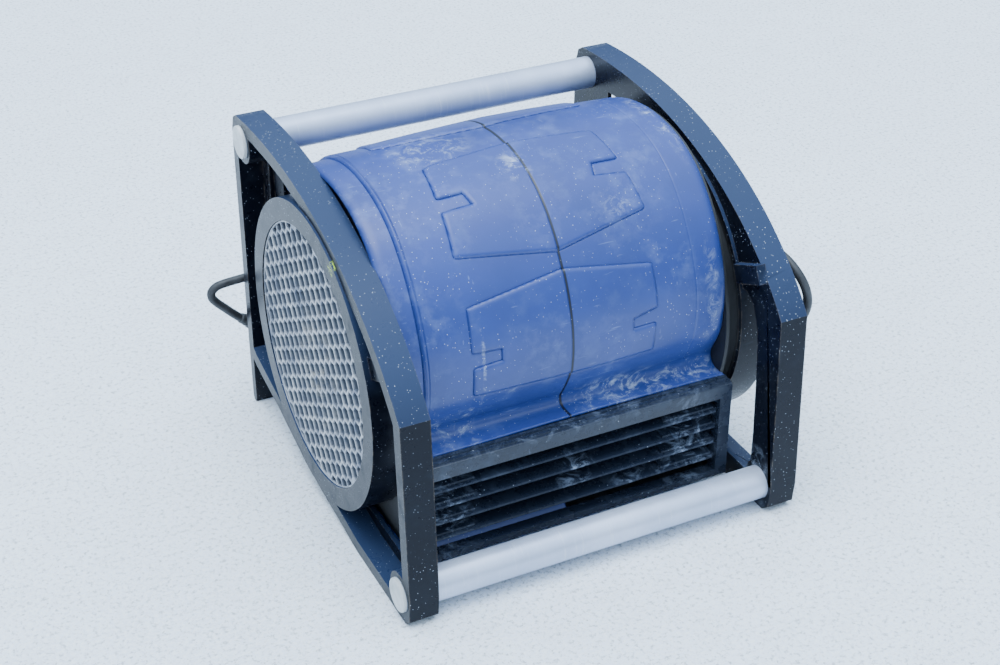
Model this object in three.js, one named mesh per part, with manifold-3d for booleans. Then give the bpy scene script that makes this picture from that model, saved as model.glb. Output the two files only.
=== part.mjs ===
// A portable pivoting blower fan: two moulded side frames joined by two tubes carry a
// blower head that tilts about a cross axis, with the motor, wheel, controls and cord.
// Millimetres. +X runs along the tubes to the right, the outlet faces -Y, +Z is up.
import * as THREE from "three";
import { mergeVertices } from "three/addons/utils/BufferGeometryUtils.js";
import Module from "manifold-3d";

const wasm = await Module();
wasm.setup();

// ---------------------------------------------------------------- driving dimensions
const GAP = 0.3; // between pieces that touch
const SHOULDER = -184; // y of the side frames' front shoulder; depths count back from it
const FLOOR = 5.5; // z of the plane that heights count up from; the frames' feet reach below it

const FRAME_OUTER = 178; // |x| of a side frame's outer face
const FRAME_INNER = 153; // |x| of its inner face
const WEB_OUTER = 157; // |x| of the recessed web's outer face
const RIM = 12; // width of the raised rim

const PIVOT_DEPTH = 180; // the head's axis, from the shoulder
const PIVOT_Z = 141.6;
const DRUM_R = 131; // outside of the ring that each frame carries
const DRUM_WALL = 4;
const DRUM_START = 150; // |x| where the ring begins
const RING_FACE = 180; // |x| of the ring's face
const RING_LIP = 3.7; // thickness of the ring's face
const INLET_R = 112; // open radius of the left ring
const PANEL_R = 118; // open radius of the right ring

const TUBE_R = 14.3;
const TUBE_WALL = 1.6;
const TOP_TUBE = [324, 271]; // depth, height
const BOTTOM_TUBE = [10.5, 17.6];
const CAP_PROUD = 3.5;

const HEAD_LEFT = -149.6; // outer faces of the head's end plates
const HEAD_RIGHT = 140;
const END_PLATE = 3;
const HEAD_SEAM = -8; // where the two housing shells meet
const SHELL = 3; // wall of the housing shells
const OUTLET_DEPTH = 50.3; // front edge of the shells at the outlet
const LOUVRE_FRONT = 38; // depth of the louvre's face
const LOUVRE_BOTTOM = 14;
const LOUVRE_TOP = 108;
const COLLAR_R = 123.5; // the head's bearing collar, inside the frame's ring

const WHEEL_R = 97;
const WHEEL_LEFT = -118;
const WHEEL_RIGHT = 30;
const BLADES = 18;
const SHAFT_R = 6;
const MOTOR_R = 50;
const MOTOR_FRONT = 36;
const MOTOR_BACK = 141;
const PANEL_FACE = 164; // outer face of the control panel

const KNOB_R = 21;

const CORD_R = 3.9;
const WIND_X = 69.1; // half the distance between the centres of the winding's ends
const WIND_Z = 92.5;
const WIND_R = 23.4; // end radius of the winding, at the middle of the cord
const WIND_DEPTH = [348.6, 372]; // from the bar's back to the horns' lips

// ---------------------------------------------------------------- materials
const finish = (color, roughness, metalness) => ({ color, roughness, metalness });
const FINISH = {
  blue: finish(0x3a5ea8, 0.45, 0),
  black: finish(0x23262a, 0.55, 0),
  grey: finish(0x43494d, 0.55, 0),
  tube: finish(0xb9c3cf, 0.35, 0.7),
  cap: finish(0xd2d4d2, 0.5, 0),
  grille: finish(0x8d9296, 0.5, 0.1),
  rubber: finish(0x17181a, 0.75, 0),
  steel: finish(0x9aa0a6, 0.35, 0.9),
  wheel: finish(0x2d2f33, 0.6, 0),
  knob: finish(0x1d1f22, 0.5, 0),
  brass: finish(0xc9a44a, 0.3, 0.9),
  nylon: finish(0xd8d5cb, 0.6, 0),
  reset: finish(0xb3261e, 0.45, 0),
};

// ---------------------------------------------------------------- tools
const lift = (height) => height + FLOOR;
const place = ([depth, height]) => [depth + SHOULDER, lift(height)];
const PIVOT = place([PIVOT_DEPTH, PIVOT_Z]);

// A closed three.js geometry as a solid, turned outside out if it is inside out.
function solid(geometry) {
  const bare = geometry.index ? geometry.toNonIndexed() : geometry.clone();
  bare.deleteAttribute("normal");
  bare.deleteAttribute("uv");
  const merged = mergeVertices(bare, 1e-4);
  const p = merged.attributes.position.array;
  const triVerts = new Uint32Array(merged.index.array);
  let volume = 0;
  for (let i = 0; i < triVerts.length; i += 3) {
    const [a, b, c] = [0, 1, 2].map((k) =>
      new THREE.Vector3().fromArray(p, 3 * triVerts[i + k]));
    volume += a.dot(b.cross(c));
  }
  if (volume < 0) {
    for (let i = 0; i < triVerts.length; i += 3) {
      [triVerts[i], triVerts[i + 1]] = [triVerts[i + 1], triVerts[i]];
    }
  }
  const mesh = new wasm.Mesh({ numProp: 3, vertProperties: p, triVerts });
  return new wasm.Manifold(mesh);
}

function geometryOf(made) {
  const mesh = made.getMesh();
  const g = new THREE.BufferGeometry();
  g.setAttribute("position", new THREE.BufferAttribute(mesh.vertProperties, 3));
  g.setIndex(new THREE.BufferAttribute(mesh.triVerts, 1));
  const flat = g.toNonIndexed();
  flat.computeVertexNormals();
  return flat;
}

const join = (...solids) => solids.reduce((whole, next) => whole.add(next));
const cut = (whole, ...tools) => tools.reduce((left, tool) => left.subtract(tool), whole);

const AXIS_X = new THREE.Vector3(1, 0, 0);
const AXIS_Y = new THREE.Vector3(0, 1, 0);
const AXIS_Z = new THREE.Vector3(0, 0, 1);
const PLATE_BASIS = new THREE.Matrix4().makeBasis(AXIS_Y, AXIS_Z, AXIS_X);
const TURNED_BASIS = new THREE.Matrix4().makeBasis(AXIS_Y, AXIS_X, AXIS_Z.clone().negate());

const path2 = (points) => points.map(([u, v]) => new THREE.Vector2(u, v));

// A y, z outline (already placed) drawn out from xa to xb.
function slab(outline, xa, xb, holes = []) {
  const shape = new THREE.Shape(path2(outline));
  for (const hole of holes) shape.holes.push(new THREE.Path(path2(hole)));
  const depth = Math.abs(xb - xa);
  const g = new THREE.ExtrudeGeometry(shape, { depth, bevelEnabled: false });
  g.applyMatrix4(PLATE_BASIS);
  g.translate(Math.min(xa, xb), 0, 0);
  return solid(g);
}

// An x, z outline drawn out from one y to another.
function slabY(outline, ya, yb, holes = []) {
  const shape = new THREE.Shape(path2(outline));
  for (const hole of holes) shape.holes.push(new THREE.Path(path2(hole)));
  const g = new THREE.ExtrudeGeometry(shape, { depth: yb - ya, bevelEnabled: false });
  g.rotateX(Math.PI / 2);
  g.translate(0, yb, 0);
  return solid(g);
}

// A closed profile of [x, radius] points turned about an axis along X.
function turned(profile, centre = PIVOT, segments = 48) {
  const closed = [...profile, profile[0]];
  const g = new THREE.LatheGeometry(closed.map(([x, r]) => new THREE.Vector2(r, x)), segments);
  g.applyMatrix4(TURNED_BASIS);
  g.translate(0, centre[0], centre[1]);
  return solid(g);
}

const ringX = (xa, xb, inner, outer, centre, segments) =>
  turned([[xa, inner], [xb, inner], [xb, outer], [xa, outer]], centre, segments);

function rodX(xa, xb, radius, [y, z] = PIVOT, segments = 48) {
  const g = new THREE.CylinderGeometry(radius, radius, Math.abs(xb - xa), segments);
  g.rotateZ(Math.PI / 2);
  g.translate((xa + xb) / 2, y, z);
  return solid(g);
}

function box(lo, hi) {
  const g = new THREE.BoxGeometry(hi[0] - lo[0], hi[1] - lo[1], hi[2] - lo[2]);
  g.translate(...lo.map((v, i) => (v + hi[i]) / 2));
  return solid(g);
}

// Points of an arc about the pivot, in y, z.
function arc(radius, from, to, steps) {
  return Array.from({ length: steps + 1 }, (_, i) => {
    const a = THREE.MathUtils.degToRad(from + ((to - from) * i) / steps);
    return [PIVOT[0] + radius * Math.cos(a), PIVOT[1] + radius * Math.sin(a)];
  });
}

// The outline moved inwards by a distance; it runs anticlockwise.
function inset(outline, distance) {
  const n = outline.length;
  return outline.map((point, i) => {
    const before = outline[(i + n - 1) % n];
    const after = outline[(i + 1) % n];
    const way = (p, q) => new THREE.Vector2(q[0] - p[0], q[1] - p[1]).normalize();
    const [d1, d2] = [way(before, point), way(point, after)];
    const normal = new THREE.Vector2(-d1.y - d2.y, d1.x + d2.x).normalize();
    const stretch = distance / Math.max(0.4, normal.dot(new THREE.Vector2(-d1.y, d1.x)));
    return [point[0] + normal.x * stretch, point[1] + normal.y * stretch];
  });
}

const fan = new THREE.Group();
const groups = {};
for (const name of ["frame", "head", "impeller", "knob", "button", "cord"]) {
  groups[name] = new THREE.Group();
  fan.add(groups[name]);
}
function add(group, name, made, finished) {
  const mesh = new THREE.Mesh(geometryOf(made), new THREE.MeshStandardMaterial(finished));
  mesh.name = name;
  groups[group].add(mesh);
}

// ---------------------------------------------------------------- side frames
const brow = new THREE.CubicBezierCurve(
  new THREE.Vector2(336, 290.5), new THREE.Vector2(142.5, 310),
  new THREE.Vector2(42, 236.5), new THREE.Vector2(0, 181));
const FRAME_OUTLINE = [
  [2, -FLOOR], [100, -FLOOR], [137, -0.5], [182, 4.5], [229, 13.5], [284, 29], [340, 42], [354, 50],
  [351, 165], [347.5, 270], [345, 284],
  ...brow.getPoints(14).map((p) => [p.x, p.y]),
  [-3, 130], [-6, 70], [-8, 20], [-6, 1],
].map(place);
const LEG = [[344, 62], [345.5, -1], [347.5, -FLOOR], [352, -FLOOR], [354, -1], [354, 62]].map(place);
const WINDOW_POST = 24; // depth of the front post's back
const STRUT_ANGLE = 155.3;
const RAIL_TOP = 18;

function frameWindow() {
  const from = STRUT_ANGLE + 6;
  const to = 180 + THREE.MathUtils.radToDeg(Math.asin((PIVOT_Z - RAIL_TOP) / DRUM_R));
  return [
    ...arc(DRUM_R, from, to, 14),
    ...[[WINDOW_POST + 6, RAIL_TOP], [WINDOW_POST, RAIL_TOP + 8], [WINDOW_POST, 60], [26.5, 110],
      [29, 145], [33, 163], [40, 176], [48, 183]].map(place),
  ];
}

// The rear window lies between the ring, the upper rim and the web's upright bead.
const rearWindow = () => [...arc(DRUM_R + 1, 37, 66, 6), ...[[240, 268], [287, 266]].map(place)];
const BEAD = [[309, 196], [312.5, 196], [312.5, 263], [309, 263]];

// A radial rib stands out of the right frame's inner face at the strut.
const RIB_PROUD = 7.5;
const innerRib = () => [...arc(DRUM_R + 3, 158.8, 151.8, 1), ...arc(DRUM_R + 38, 152.5, 158, 1)];

function sideFrame(side, open) {
  const at = (x) => side * x;
  const inside = () => slab(FRAME_OUTLINE, at(FRAME_INNER), at(FRAME_OUTER));
  let body = inside();
  const disc = rodX(at(WEB_OUTER - 9), at(FRAME_OUTER + 9), DRUM_R - 1, PIVOT, 48);
  const pocket = slab(inset(FRAME_OUTLINE, RIM), at(WEB_OUTER), at(FRAME_OUTER + 5));
  const strut = slab([
    ...arc(DRUM_R - 3, STRUT_ANGLE + 3.8, STRUT_ANGLE - 3.8, 1),
    ...arc(DRUM_R + 42, STRUT_ANGLE - 3, STRUT_ANGLE + 3, 1),
  ], at(FRAME_INNER), at(FRAME_OUTER - 3)).intersect(inside());
  body = cut(body, pocket.subtract(disc));
  body = cut(body, slab(frameWindow(), at(FRAME_INNER - 5), at(FRAME_OUTER + 5)));
  body = cut(body, slab(rearWindow(), at(FRAME_INNER - 5), at(FRAME_OUTER + 5)));
  const bead = slab(BEAD.map(place), at(FRAME_INNER), at(WEB_OUTER + 4)).intersect(inside());
  const leg = slab(LEG, at(FRAME_INNER), at(FRAME_OUTER));
  const boss = (centre) => rodX(at(FRAME_INNER), at(FRAME_OUTER), 19, place(centre), 32);
  const bosses = join(boss(TOP_TUBE), boss(BOTTOM_TUBE)).intersect(inside());
  body = join(body, strut, bead, leg, bosses);
  if (side > 0) body = join(body, slab(innerRib(), FRAME_INNER - RIB_PROUD, FRAME_INNER + 1));
  body = join(body, rodX(at(DRUM_START), at(RING_FACE), DRUM_R, PIVOT, 48));
  const bore = rodX(at(DRUM_START - 5), at(RING_FACE - RING_LIP), DRUM_R - DRUM_WALL, PIVOT, 48);
  const mouth = rodX(at(DRUM_START), at(RING_FACE + 5), open, PIVOT, 48);
  const tubes = [TOP_TUBE, BOTTOM_TUBE].map((centre) =>
    rodX(at(FRAME_INNER - 5), at(RING_FACE + 5), TUBE_R + GAP, place(centre), 32));
  return cut(body, bore, mouth, ...tubes);
}
add("frame", "left_side_frame", sideFrame(-1, INLET_R), FINISH.black);
add("frame", "right_side_frame", sideFrame(1, PANEL_R), FINISH.black);

// ---------------------------------------------------------------- tubes, caps and screws
const TUBES = { top: TOP_TUBE, bottom: BOTTOM_TUBE };
for (const [name, centre] of Object.entries(TUBES)) {
  const middle = place(centre);
  const tube = ringX(-FRAME_OUTER, FRAME_OUTER, TUBE_R - TUBE_WALL, TUBE_R, middle, 32);
  add("frame", name === "top" ? "top_handle_tube" : "bottom_tube", tube, FINISH.tube);
  for (const [word, side] of [["left", -1], ["right", 1]]) {
    const head = rodX(side * (FRAME_OUTER + GAP), side * (FRAME_OUTER + CAP_PROUD), TUBE_R, middle, 24);
    const plug = rodX(side * (FRAME_OUTER - 12), side * (FRAME_OUTER + 1),
      TUBE_R - TUBE_WALL - GAP - 0.3, middle, 16);
    add("frame", `${name}_${word}_tube_cap`, join(head, plug), FINISH.cap);
  }
}

// A pan-head screw along X with its head facing the way given.
function screwX(x, way, centre, headR = 4, length = 10) {
  const head = rodX(x, x + way * 2.4, headR, centre, 14);
  const shank = rodX(x + way * 0.5, x - way * length, headR * 0.45, centre, 8);
  return join(head, shank);
}

// ---------------------------------------------------------------- left inlet grille
const CELL = 34; // across the flats of a coarse cell, walls included
const CELL_WALL = 3;
const GRILLE_R = 126.4;
const GRILLE_DEPTH = 7;
const GRILLE_RECESS = 1.2; // of its front, behind the ring's face
function honeycomb() {
  const holes = [];
  const row = CELL * Math.sin(Math.PI / 3);
  const corner = (CELL - CELL_WALL) / Math.sqrt(3);
  for (let i = -6; i <= 6; i++) {
    for (let j = -6; j <= 6; j++) {
      const y = i * row;
      const z = j * CELL + (i % 2 ? CELL / 2 : 0);
      if (Math.hypot(y, z) + corner > INLET_R - 1) continue;
      holes.push(Array.from({ length: 6 }, (_, k) => {
        const a = (k * Math.PI) / 3;
        return [PIVOT[0] + y + corner * Math.cos(a), PIVOT[1] + z + corner * Math.sin(a)];
      }));
    }
  }
  const back = -RING_FACE + RING_LIP + GAP + GRILLE_DEPTH;
  const cells = slab(arc(INLET_R - GAP, 0, 352.5, 47), -RING_FACE + GRILLE_RECESS, back, holes);
  return join(cells, ringX(-RING_FACE + RING_LIP + GAP, back, INLET_R - 2, GRILLE_R, PIVOT, 48));
}
add("frame", "left_inlet_grille", honeycomb(), FINISH.grille);

// ---------------------------------------------------------------- head
// Outside of the scroll: radius about the pivot at each angle, from the floor side round
// the back and over the top to the neck above the outlet.
const SCROLL = [
  [-90, 131], [-75, 131], [-60, 132], [-45, 133], [-30, 134.5], [-15, 136.5], [0, 139],
  [15, 143.5], [30, 149], [45, 154], [60, 157], [75, 158], [90, 158], [105, 157.5],
  [117, 155], [128, 150], [138, 145], [148, 140.5], [158, 136.5], [168, 131.5],
  [176, 126.5], [182, 120.5],
];
const NECK_OUTER = [[65.5, 127.5], [71, 118], [69.5, 111], [64, 107.5], [57, 107]];
const NECK_INNER = [[68.8, 128.5], [74.3, 118], [72.3, 109], [65.5, 104.4], [57, 104]];

function scrollOutline(wall, front, neck, roof) {
  const round = SCROLL.map(([a, r]) => {
    const t = THREE.MathUtils.degToRad(a);
    return [PIVOT[0] + (r - wall) * Math.cos(t), PIVOT[1] + (r - wall) * Math.sin(t)];
  });
  return [place([front, LOUVRE_BOTTOM - 2 + wall]), ...round, ...neck.map(place), place([front, roof])];
}
const OUTSIDE = scrollOutline(0, OUTLET_DEPTH, NECK_OUTER, 108.5);
const INSIDE = scrollOutline(SHELL, OUTLET_DEPTH - 20, NECK_INNER, 105);

function shell(xa, xb) {
  return cut(slab(OUTSIDE, xa, xb), slab(INSIDE, xa - 5, xb + 5));
}
const SHELL_LEFT = HEAD_LEFT + END_PLATE + GAP;
const SHELL_RIGHT = HEAD_RIGHT - END_PLATE - GAP;
add("head", "left_housing_shell", shell(SHELL_LEFT, HEAD_SEAM - GAP / 2), FINISH.blue);
add("head", "right_housing_shell", shell(HEAD_SEAM + GAP / 2, SHELL_RIGHT), FINISH.blue);

// An end plate closes the scroll, carries a round skirt where the neck cuts in, and has
// the bearing collar that turns inside the frame's ring.
const SKIRT_R = 128.5;
const COLLAR_WALL = 3.5;
function endPlate(outer, inner, collarEnd, mouth) {
  const face = slab(OUTSIDE, outer, inner);
  const disc = rodX(outer, inner, SKIRT_R, PIVOT, 48);
  const collar = ringX(Math.min(inner, collarEnd), Math.max(inner, collarEnd),
    COLLAR_R - COLLAR_WALL, COLLAR_R, PIVOT, 48);
  return cut(join(face, disc, collar), rodX(outer - 20, outer + 20, mouth, PIVOT, 48)
    .intersect(box([Math.min(outer, inner) - 1, -400, -200], [Math.max(outer, inner) + 1, 400, 500])));
}
const CONE_MOUTH = 101;
const PLATE_MOUTH = 103.4; // the end plate's opening round the cone
add("head", "left_end_plate",
  endPlate(HEAD_LEFT, HEAD_LEFT + END_PLATE, HEAD_LEFT - 7.4, PLATE_MOUTH), FINISH.black);
add("head", "right_end_plate",
  endPlate(HEAD_RIGHT, HEAD_RIGHT - END_PLATE, HEAD_RIGHT + 16, MOTOR_R + 5), FINISH.black);

// The inlet cone guides the air from the grille into the wheel.
const CONE_END = WHEEL_LEFT - 3;
add("head", "inlet_cone", turned([
  [HEAD_LEFT - 6, 108], [HEAD_LEFT + 4, CONE_MOUTH - GAP - 1], [HEAD_LEFT + 14, 91], [CONE_END, 86],
  [CONE_END, 83.5], [HEAD_LEFT + 13, 88.5], [HEAD_LEFT + 3, 97.5], [HEAD_LEFT - 6.5, 105.5],
], PIVOT, 48), FINISH.black);

// Glide rings between each collar and the frame's ring.
for (const [word, side, start] of [["left", -1, DRUM_START + 2], ["right", 1, DRUM_START + 0.5]]) {
  const ring = ringX(Math.min(side * start, side * (start + 5)), Math.max(side * start, side * (start + 5)),
    COLLAR_R + GAP, DRUM_R - DRUM_WALL - GAP, PIVOT, 48);
  add("frame", `${word}_glide_ring`, ring, FINISH.black);
}

// ---------------------------------------------------------------- outlet louvre
const SLATS = [35.4, 51, 66.5, 82]; // heights of the slats' front edges
const VANE_BACK = 60; // depth that the longer ends of the slats reach
const VANES = [[HEAD_LEFT + 18, -92], [72, HEAD_RIGHT - 12]];
function louvre() {
  const back = OUTLET_DEPTH - GAP;
  const left = HEAD_LEFT + 2;
  const right = HEAD_RIGHT - 2;
  const section = [
    [LOUVRE_FRONT, LOUVRE_BOTTOM], [back, LOUVRE_BOTTOM], [back, LOUVRE_TOP], [LOUVRE_FRONT + 2, LOUVRE_TOP],
    [LOUVRE_FRONT, LOUVRE_TOP - 3],
  ].map(place);
  const border = slab(section, left, right);
  const opening = box([left + 7, SHOULDER + LOUVRE_FRONT - 5, lift(LOUVRE_BOTTOM + 5)],
    [right - 7, SHOULDER + back + 5, lift(92)]);
  const slats = SLATS.map((z) => slab([
    [LOUVRE_FRONT + 1, z - 2.2], [back, z - 1.2], [back, z + 0.8], [LOUVRE_FRONT + 1, z],
  ].map(place), left + 4, right - 4));
  const vanes = SLATS.flatMap((z) => VANES.map(([xa, xb]) => slab([
    [back - 2, z - 1.4], [VANE_BACK, z + 3.6], [VANE_BACK, z + 5.4], [back - 2, z + 0.7],
  ].map(place), xa, xb)));
  return join(cut(border, opening), ...slats, ...vanes);
}
add("head", "outlet_louvre", louvre(), FINISH.black);

// ---------------------------------------------------------------- wheel, shaft and motor
function wheel() {
  const blade = (k) => {
    const turn = (k * 2 * Math.PI) / BLADES;
    const line = (lift) => [0, 1, 2].map((i) => {
      const r = 79 + i * 8.4;
      const a = turn + 0.027 * i * i + lift / r;
      return [PIVOT[0] + r * Math.cos(a), PIVOT[1] + r * Math.sin(a)];
    });
    return slab([...line(0), ...line(2).reverse()], WHEEL_LEFT + 1, WHEEL_RIGHT - 3);
  };
  const blades = Array.from({ length: BLADES }, (_, k) => blade(k));
  return join(
    ringX(WHEEL_LEFT, WHEEL_LEFT + 4, 78, WHEEL_R, PIVOT, 48),
    ringX(WHEEL_RIGHT - 5, WHEEL_RIGHT, SHAFT_R + GAP, WHEEL_R, PIVOT, 48),
    ringX(WHEEL_RIGHT - 28, WHEEL_RIGHT - 4, SHAFT_R + GAP, 15, PIVOT, 24),
    ...blades);
}
add("impeller", "blower_wheel", wheel(), FINISH.wheel);
add("impeller", "motor_shaft", rodX(WHEEL_RIGHT - 34, MOTOR_FRONT + 8, SHAFT_R, PIVOT, 24), FINISH.steel);

const motorCan = turned([
  [MOTOR_FRONT + 6, 11], [MOTOR_FRONT, 11], [MOTOR_FRONT, 20], [MOTOR_FRONT + 12, 40],
  [MOTOR_FRONT + 20, MOTOR_R], [MOTOR_BACK - GAP, MOTOR_R], [MOTOR_BACK - GAP, 8], [MOTOR_FRONT + 12, 8],
], PIVOT, 24);
add("frame", "motor", motorCan, FINISH.steel);

// The motor stands on a steel plate inside the right frame's ring.
const PLATE_THICK = 3;
const STAND_R = 108;
add("frame", "motor_plate", join(
  rodX(MOTOR_BACK, MOTOR_BACK + PLATE_THICK, 117, PIVOT, 48)), FINISH.steel);
add("frame", "control_housing", join(
  ringX(MOTOR_BACK + PLATE_THICK + GAP, PANEL_FACE - 3.5 - GAP, STAND_R - 3, STAND_R, PIVOT, 48),
  cut(rodX(MOTOR_BACK + PLATE_THICK + GAP, MOTOR_BACK + PLATE_THICK + 2.5, STAND_R - 1, PIVOT, 48),
    rodX(MOTOR_BACK, PANEL_FACE, 30, PIVOT, 32))), FINISH.black);

// ---------------------------------------------------------------- control panel
const VENTS = 24;
const GLAND = [118, 192]; // depth and height of the cord's exit
const PANEL_SCREWS = [20, 112, 200, 340];
const PANEL_SCREW_R = 112;
const OUTLET_MIDDLE = [PIVOT[0], PIVOT[1] - 74]; // accessory sockets, below the knob
const OUTLET_HALF = [36, 17];
const RESET_MIDDLE = arc(78, 320, 320, 1)[0];
function controlPanel() {
  const disc = rodX(PANEL_FACE - 3.5, PANEL_FACE, DRUM_R - DRUM_WALL - GAP, PIVOT, 48);
  const dial = ringX(PANEL_FACE - 1, PANEL_FACE + 1.6, KNOB_R + 2.5, KNOB_R + 14, PIVOT, 48);
  const vents = [];
  for (let k = 0; k < VENTS; k++) {
    const angle = (k * 360) / VENTS;
    if (Math.abs(angle - 140) < 24 || (angle > 232 && angle < 340)) continue;
    const t = THREE.MathUtils.degToRad(angle);
    const g = new THREE.BoxGeometry(20, 30, 4.6);
    g.rotateX(t);
    g.translate(PANEL_FACE, PIVOT[0] + 84 * Math.cos(t), PIVOT[1] + 84 * Math.sin(t));
    vents.push(solid(g));
  }
  const spindle = rodX(PANEL_FACE - 10, PANEL_FACE + 5, 4.5, PIVOT, 24);
  const screws = PANEL_SCREWS.map((a) =>
    rodX(PANEL_FACE - 10, PANEL_FACE + 5, 2.2, arc(PANEL_SCREW_R, a, a, 1)[0], 8));
  const [ly, lz] = OUTLET_MIDDLE;
  const duplex = box([PANEL_FACE - 10, ly - OUTLET_HALF[0] - GAP, lz - OUTLET_HALF[1] - GAP],
    [PANEL_FACE + 5, ly + OUTLET_HALF[0] + GAP, lz + OUTLET_HALF[1] + GAP]);
  const reset = rodX(PANEL_FACE - 10, PANEL_FACE + 5, 6.3, RESET_MIDDLE, 16);
  const gland = rodX(PANEL_FACE - 10, PANEL_FACE + 5, CORD_R + 1, place(GLAND), 20);
  return cut(join(disc, dial), ...vents, spindle, gland, duplex, reset, ...screws);
}
add("frame", "control_panel", controlPanel(), FINISH.black);
add("frame", "speed_switch", join(
  rodX(MOTOR_BACK + PLATE_THICK + 3, PANEL_FACE - 4, 17, PIVOT, 24),
  rodX(PANEL_FACE - 5, PANEL_FACE - 0.5, 3.8, PIVOT, 16)), FINISH.nylon);
add("frame", "run_capacitor", rodX(MOTOR_FRONT + 26, MOTOR_BACK - 14, 15,
  [PIVOT[0], PIVOT[1] + MOTOR_R + 15.5], 24), FINISH.steel);

PANEL_SCREWS.forEach((a, i) => {
  const centre = arc(PANEL_SCREW_R, a, a, 1)[0];
  const head = rodX(PANEL_FACE + GAP, PANEL_FACE + 2.6, 4.4, centre, 12);
  const shank = rodX(PANEL_FACE - 9, PANEL_FACE + 1, 1.8, centre, 8);
  add("frame", `panel_screw_${i + 1}`, join(head, shank), FINISH.steel);
});

// Two earthed sockets side by side in one block, and the breaker's reset button.
function accessoryOutlets() {
  const [y, z] = OUTLET_MIDDLE;
  const [hy, hz] = OUTLET_HALF;
  const block = box([PANEL_FACE - 16, y - hy, z - hz], [PANEL_FACE + 1.2, y + hy, z + hz]);
  const slots = [-18, 18].flatMap((dy) => [
    box([PANEL_FACE - 8, y + dy - 7.2, z - 1], [PANEL_FACE + 5, y + dy - 5.4, z + 7]),
    box([PANEL_FACE - 8, y + dy + 5.4, z - 1], [PANEL_FACE + 5, y + dy + 7.2, z + 7]),
    rodX(PANEL_FACE - 8, PANEL_FACE + 5, 2.6, [y + dy, z - 7], 12),
  ]);
  return cut(block, ...slots);
}
add("frame", "accessory_outlets", accessoryOutlets(), FINISH.knob);
add("button", "reset_button", join(rodX(PANEL_FACE - 7, PANEL_FACE + 4.5, 6, RESET_MIDDLE, 16),
  rodX(PANEL_FACE - 8, PANEL_FACE - 5, 8, RESET_MIDDLE, 16)), FINISH.reset);

// Knob: a skirted disc with a grip bar and a spindle socket.
const KNOB_FACE = PANEL_FACE + 14.5;
const skirt = turned([
  [PANEL_FACE + 0.6, 0.01], [PANEL_FACE + 0.6, KNOB_R], [PANEL_FACE + 4, KNOB_R],
  [PANEL_FACE + 6, KNOB_R - 3], [PANEL_FACE + 6, 0.01],
], PIVOT, 40);
const grip = box([PANEL_FACE + 5, PIVOT[0] - 4.2, PIVOT[1] - 17], [KNOB_FACE, PIVOT[0] + 4.2, PIVOT[1] + 19]);
add("knob", "speed_knob", join(skirt, grip), FINISH.knob);

// ---------------------------------------------------------------- cord wrap at the back
const BAR_DEPTH = [341, 348]; // front and back of the bar between the rear posts
const BAR_X = FRAME_INNER - GAP;
const BAR_HALF = 17;
const HORN_R = WIND_R - CORD_R - 0.7;
const PEG_X = 128;
const LIP = 4; // how far the horns' lips reach behind the winding
const UPPER_RUN = WIND_Z + WIND_R;
const [BAR_FRONT_Y, BAR_BACK_Y] = BAR_DEPTH.map((d) => d + SHOULDER);
const [WIND_FRONT_Y, WIND_BACK_Y] = WIND_DEPTH.map((d) => d + SHOULDER);

// Half a disc whose round side faces outwards, in x and z.
function halfDisc(side, radius) {
  const points = Array.from({ length: 13 }, (_, i) => {
    const a = -Math.PI / 2 + (Math.PI * i) / 12;
    return [side * (WIND_X + radius * Math.cos(a)), lift(WIND_Z + radius * Math.sin(a))];
  });
  const flat = [radius, -radius].map((r) => [side * (WIND_X - 6), lift(WIND_Z + r)]);
  const outline = [...points, ...flat];
  return side > 0 ? outline : outline.reverse();
}

function wrapBar() {
  const bar = box([-BAR_X, BAR_FRONT_Y, lift(WIND_Z - BAR_HALF)],
    [BAR_X, BAR_BACK_Y, lift(WIND_Z + BAR_HALF)]);
  const parts = [bar];
  for (const side of [-1, 1]) {
    parts.push(slabY(halfDisc(side, HORN_R), BAR_BACK_Y - 1, WIND_BACK_Y + 1));
    parts.push(slabY(halfDisc(side, WIND_R + CORD_R + 3), WIND_BACK_Y + 0.6, WIND_BACK_Y + LIP));
    const low = lift(UPPER_RUN - CORD_R - 6.5);
    const high = lift(UPPER_RUN - CORD_R - 0.5);
    const [xa, xb] = [side * PEG_X - 5, side * PEG_X + 5];
    parts.push(box([xa, BAR_BACK_Y - 1, low], [xb, WIND_BACK_Y + LIP, high]));
    parts.push(box([xa, WIND_BACK_Y + 1, low], [xb, WIND_BACK_Y + LIP, high + 11]));
  }
  return join(...parts);
}
add("frame", "cord_wrap_bar", wrapBar(), FINISH.black);

// ---------------------------------------------------------------- power cord
const at3 = ([x, depth, z]) => new THREE.Vector3(x, depth + SHOULDER, lift(z));
// From the strain relief over the right frame's shoulder, back along its side in a
// slack bight, and round the rear post to the winding.
const RELIEF_ROOT = [PANEL_FACE, ...GLAND];
const RELIEF_TIP = [182, 101.8, 197];
const LEAD = [
  RELIEF_TIP, [187, 93.5, 199], [189.3, 82, 201.5], [189.8, 68, 204.5], [189.4, 54, 205.2],
  [190, 42, 202.5], [193, 33.5, 195], [197, 29.5, 184], [200, 30, 171], [201, 35, 156],
  [200.5, 44, 140], [198.5, 56, 122], [196, 71, 104], [193, 90, 87], [190.5, 114, 73],
  [189, 142, 65], [188.5, 172, 61.5], [188.5, 204, 63], [188.5, 236, 69], [189, 266, 79],
  [189.5, 294, 91], [189.5, 322, 104], [188.8, 341, 111], [186.4, 353, 114.6], [179.9, 362.9, 116],
  [169.9, 368.6, 116.2], [157, 369.6, 116.2], [142, 366.6, 116.1], [126, 361, 116], [110, 356, 115.9],
  [98, 353.6, 115.9], [88.5, 352.8, 115.9],
];
const TAIL_DEPTH = 367.8;
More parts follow.
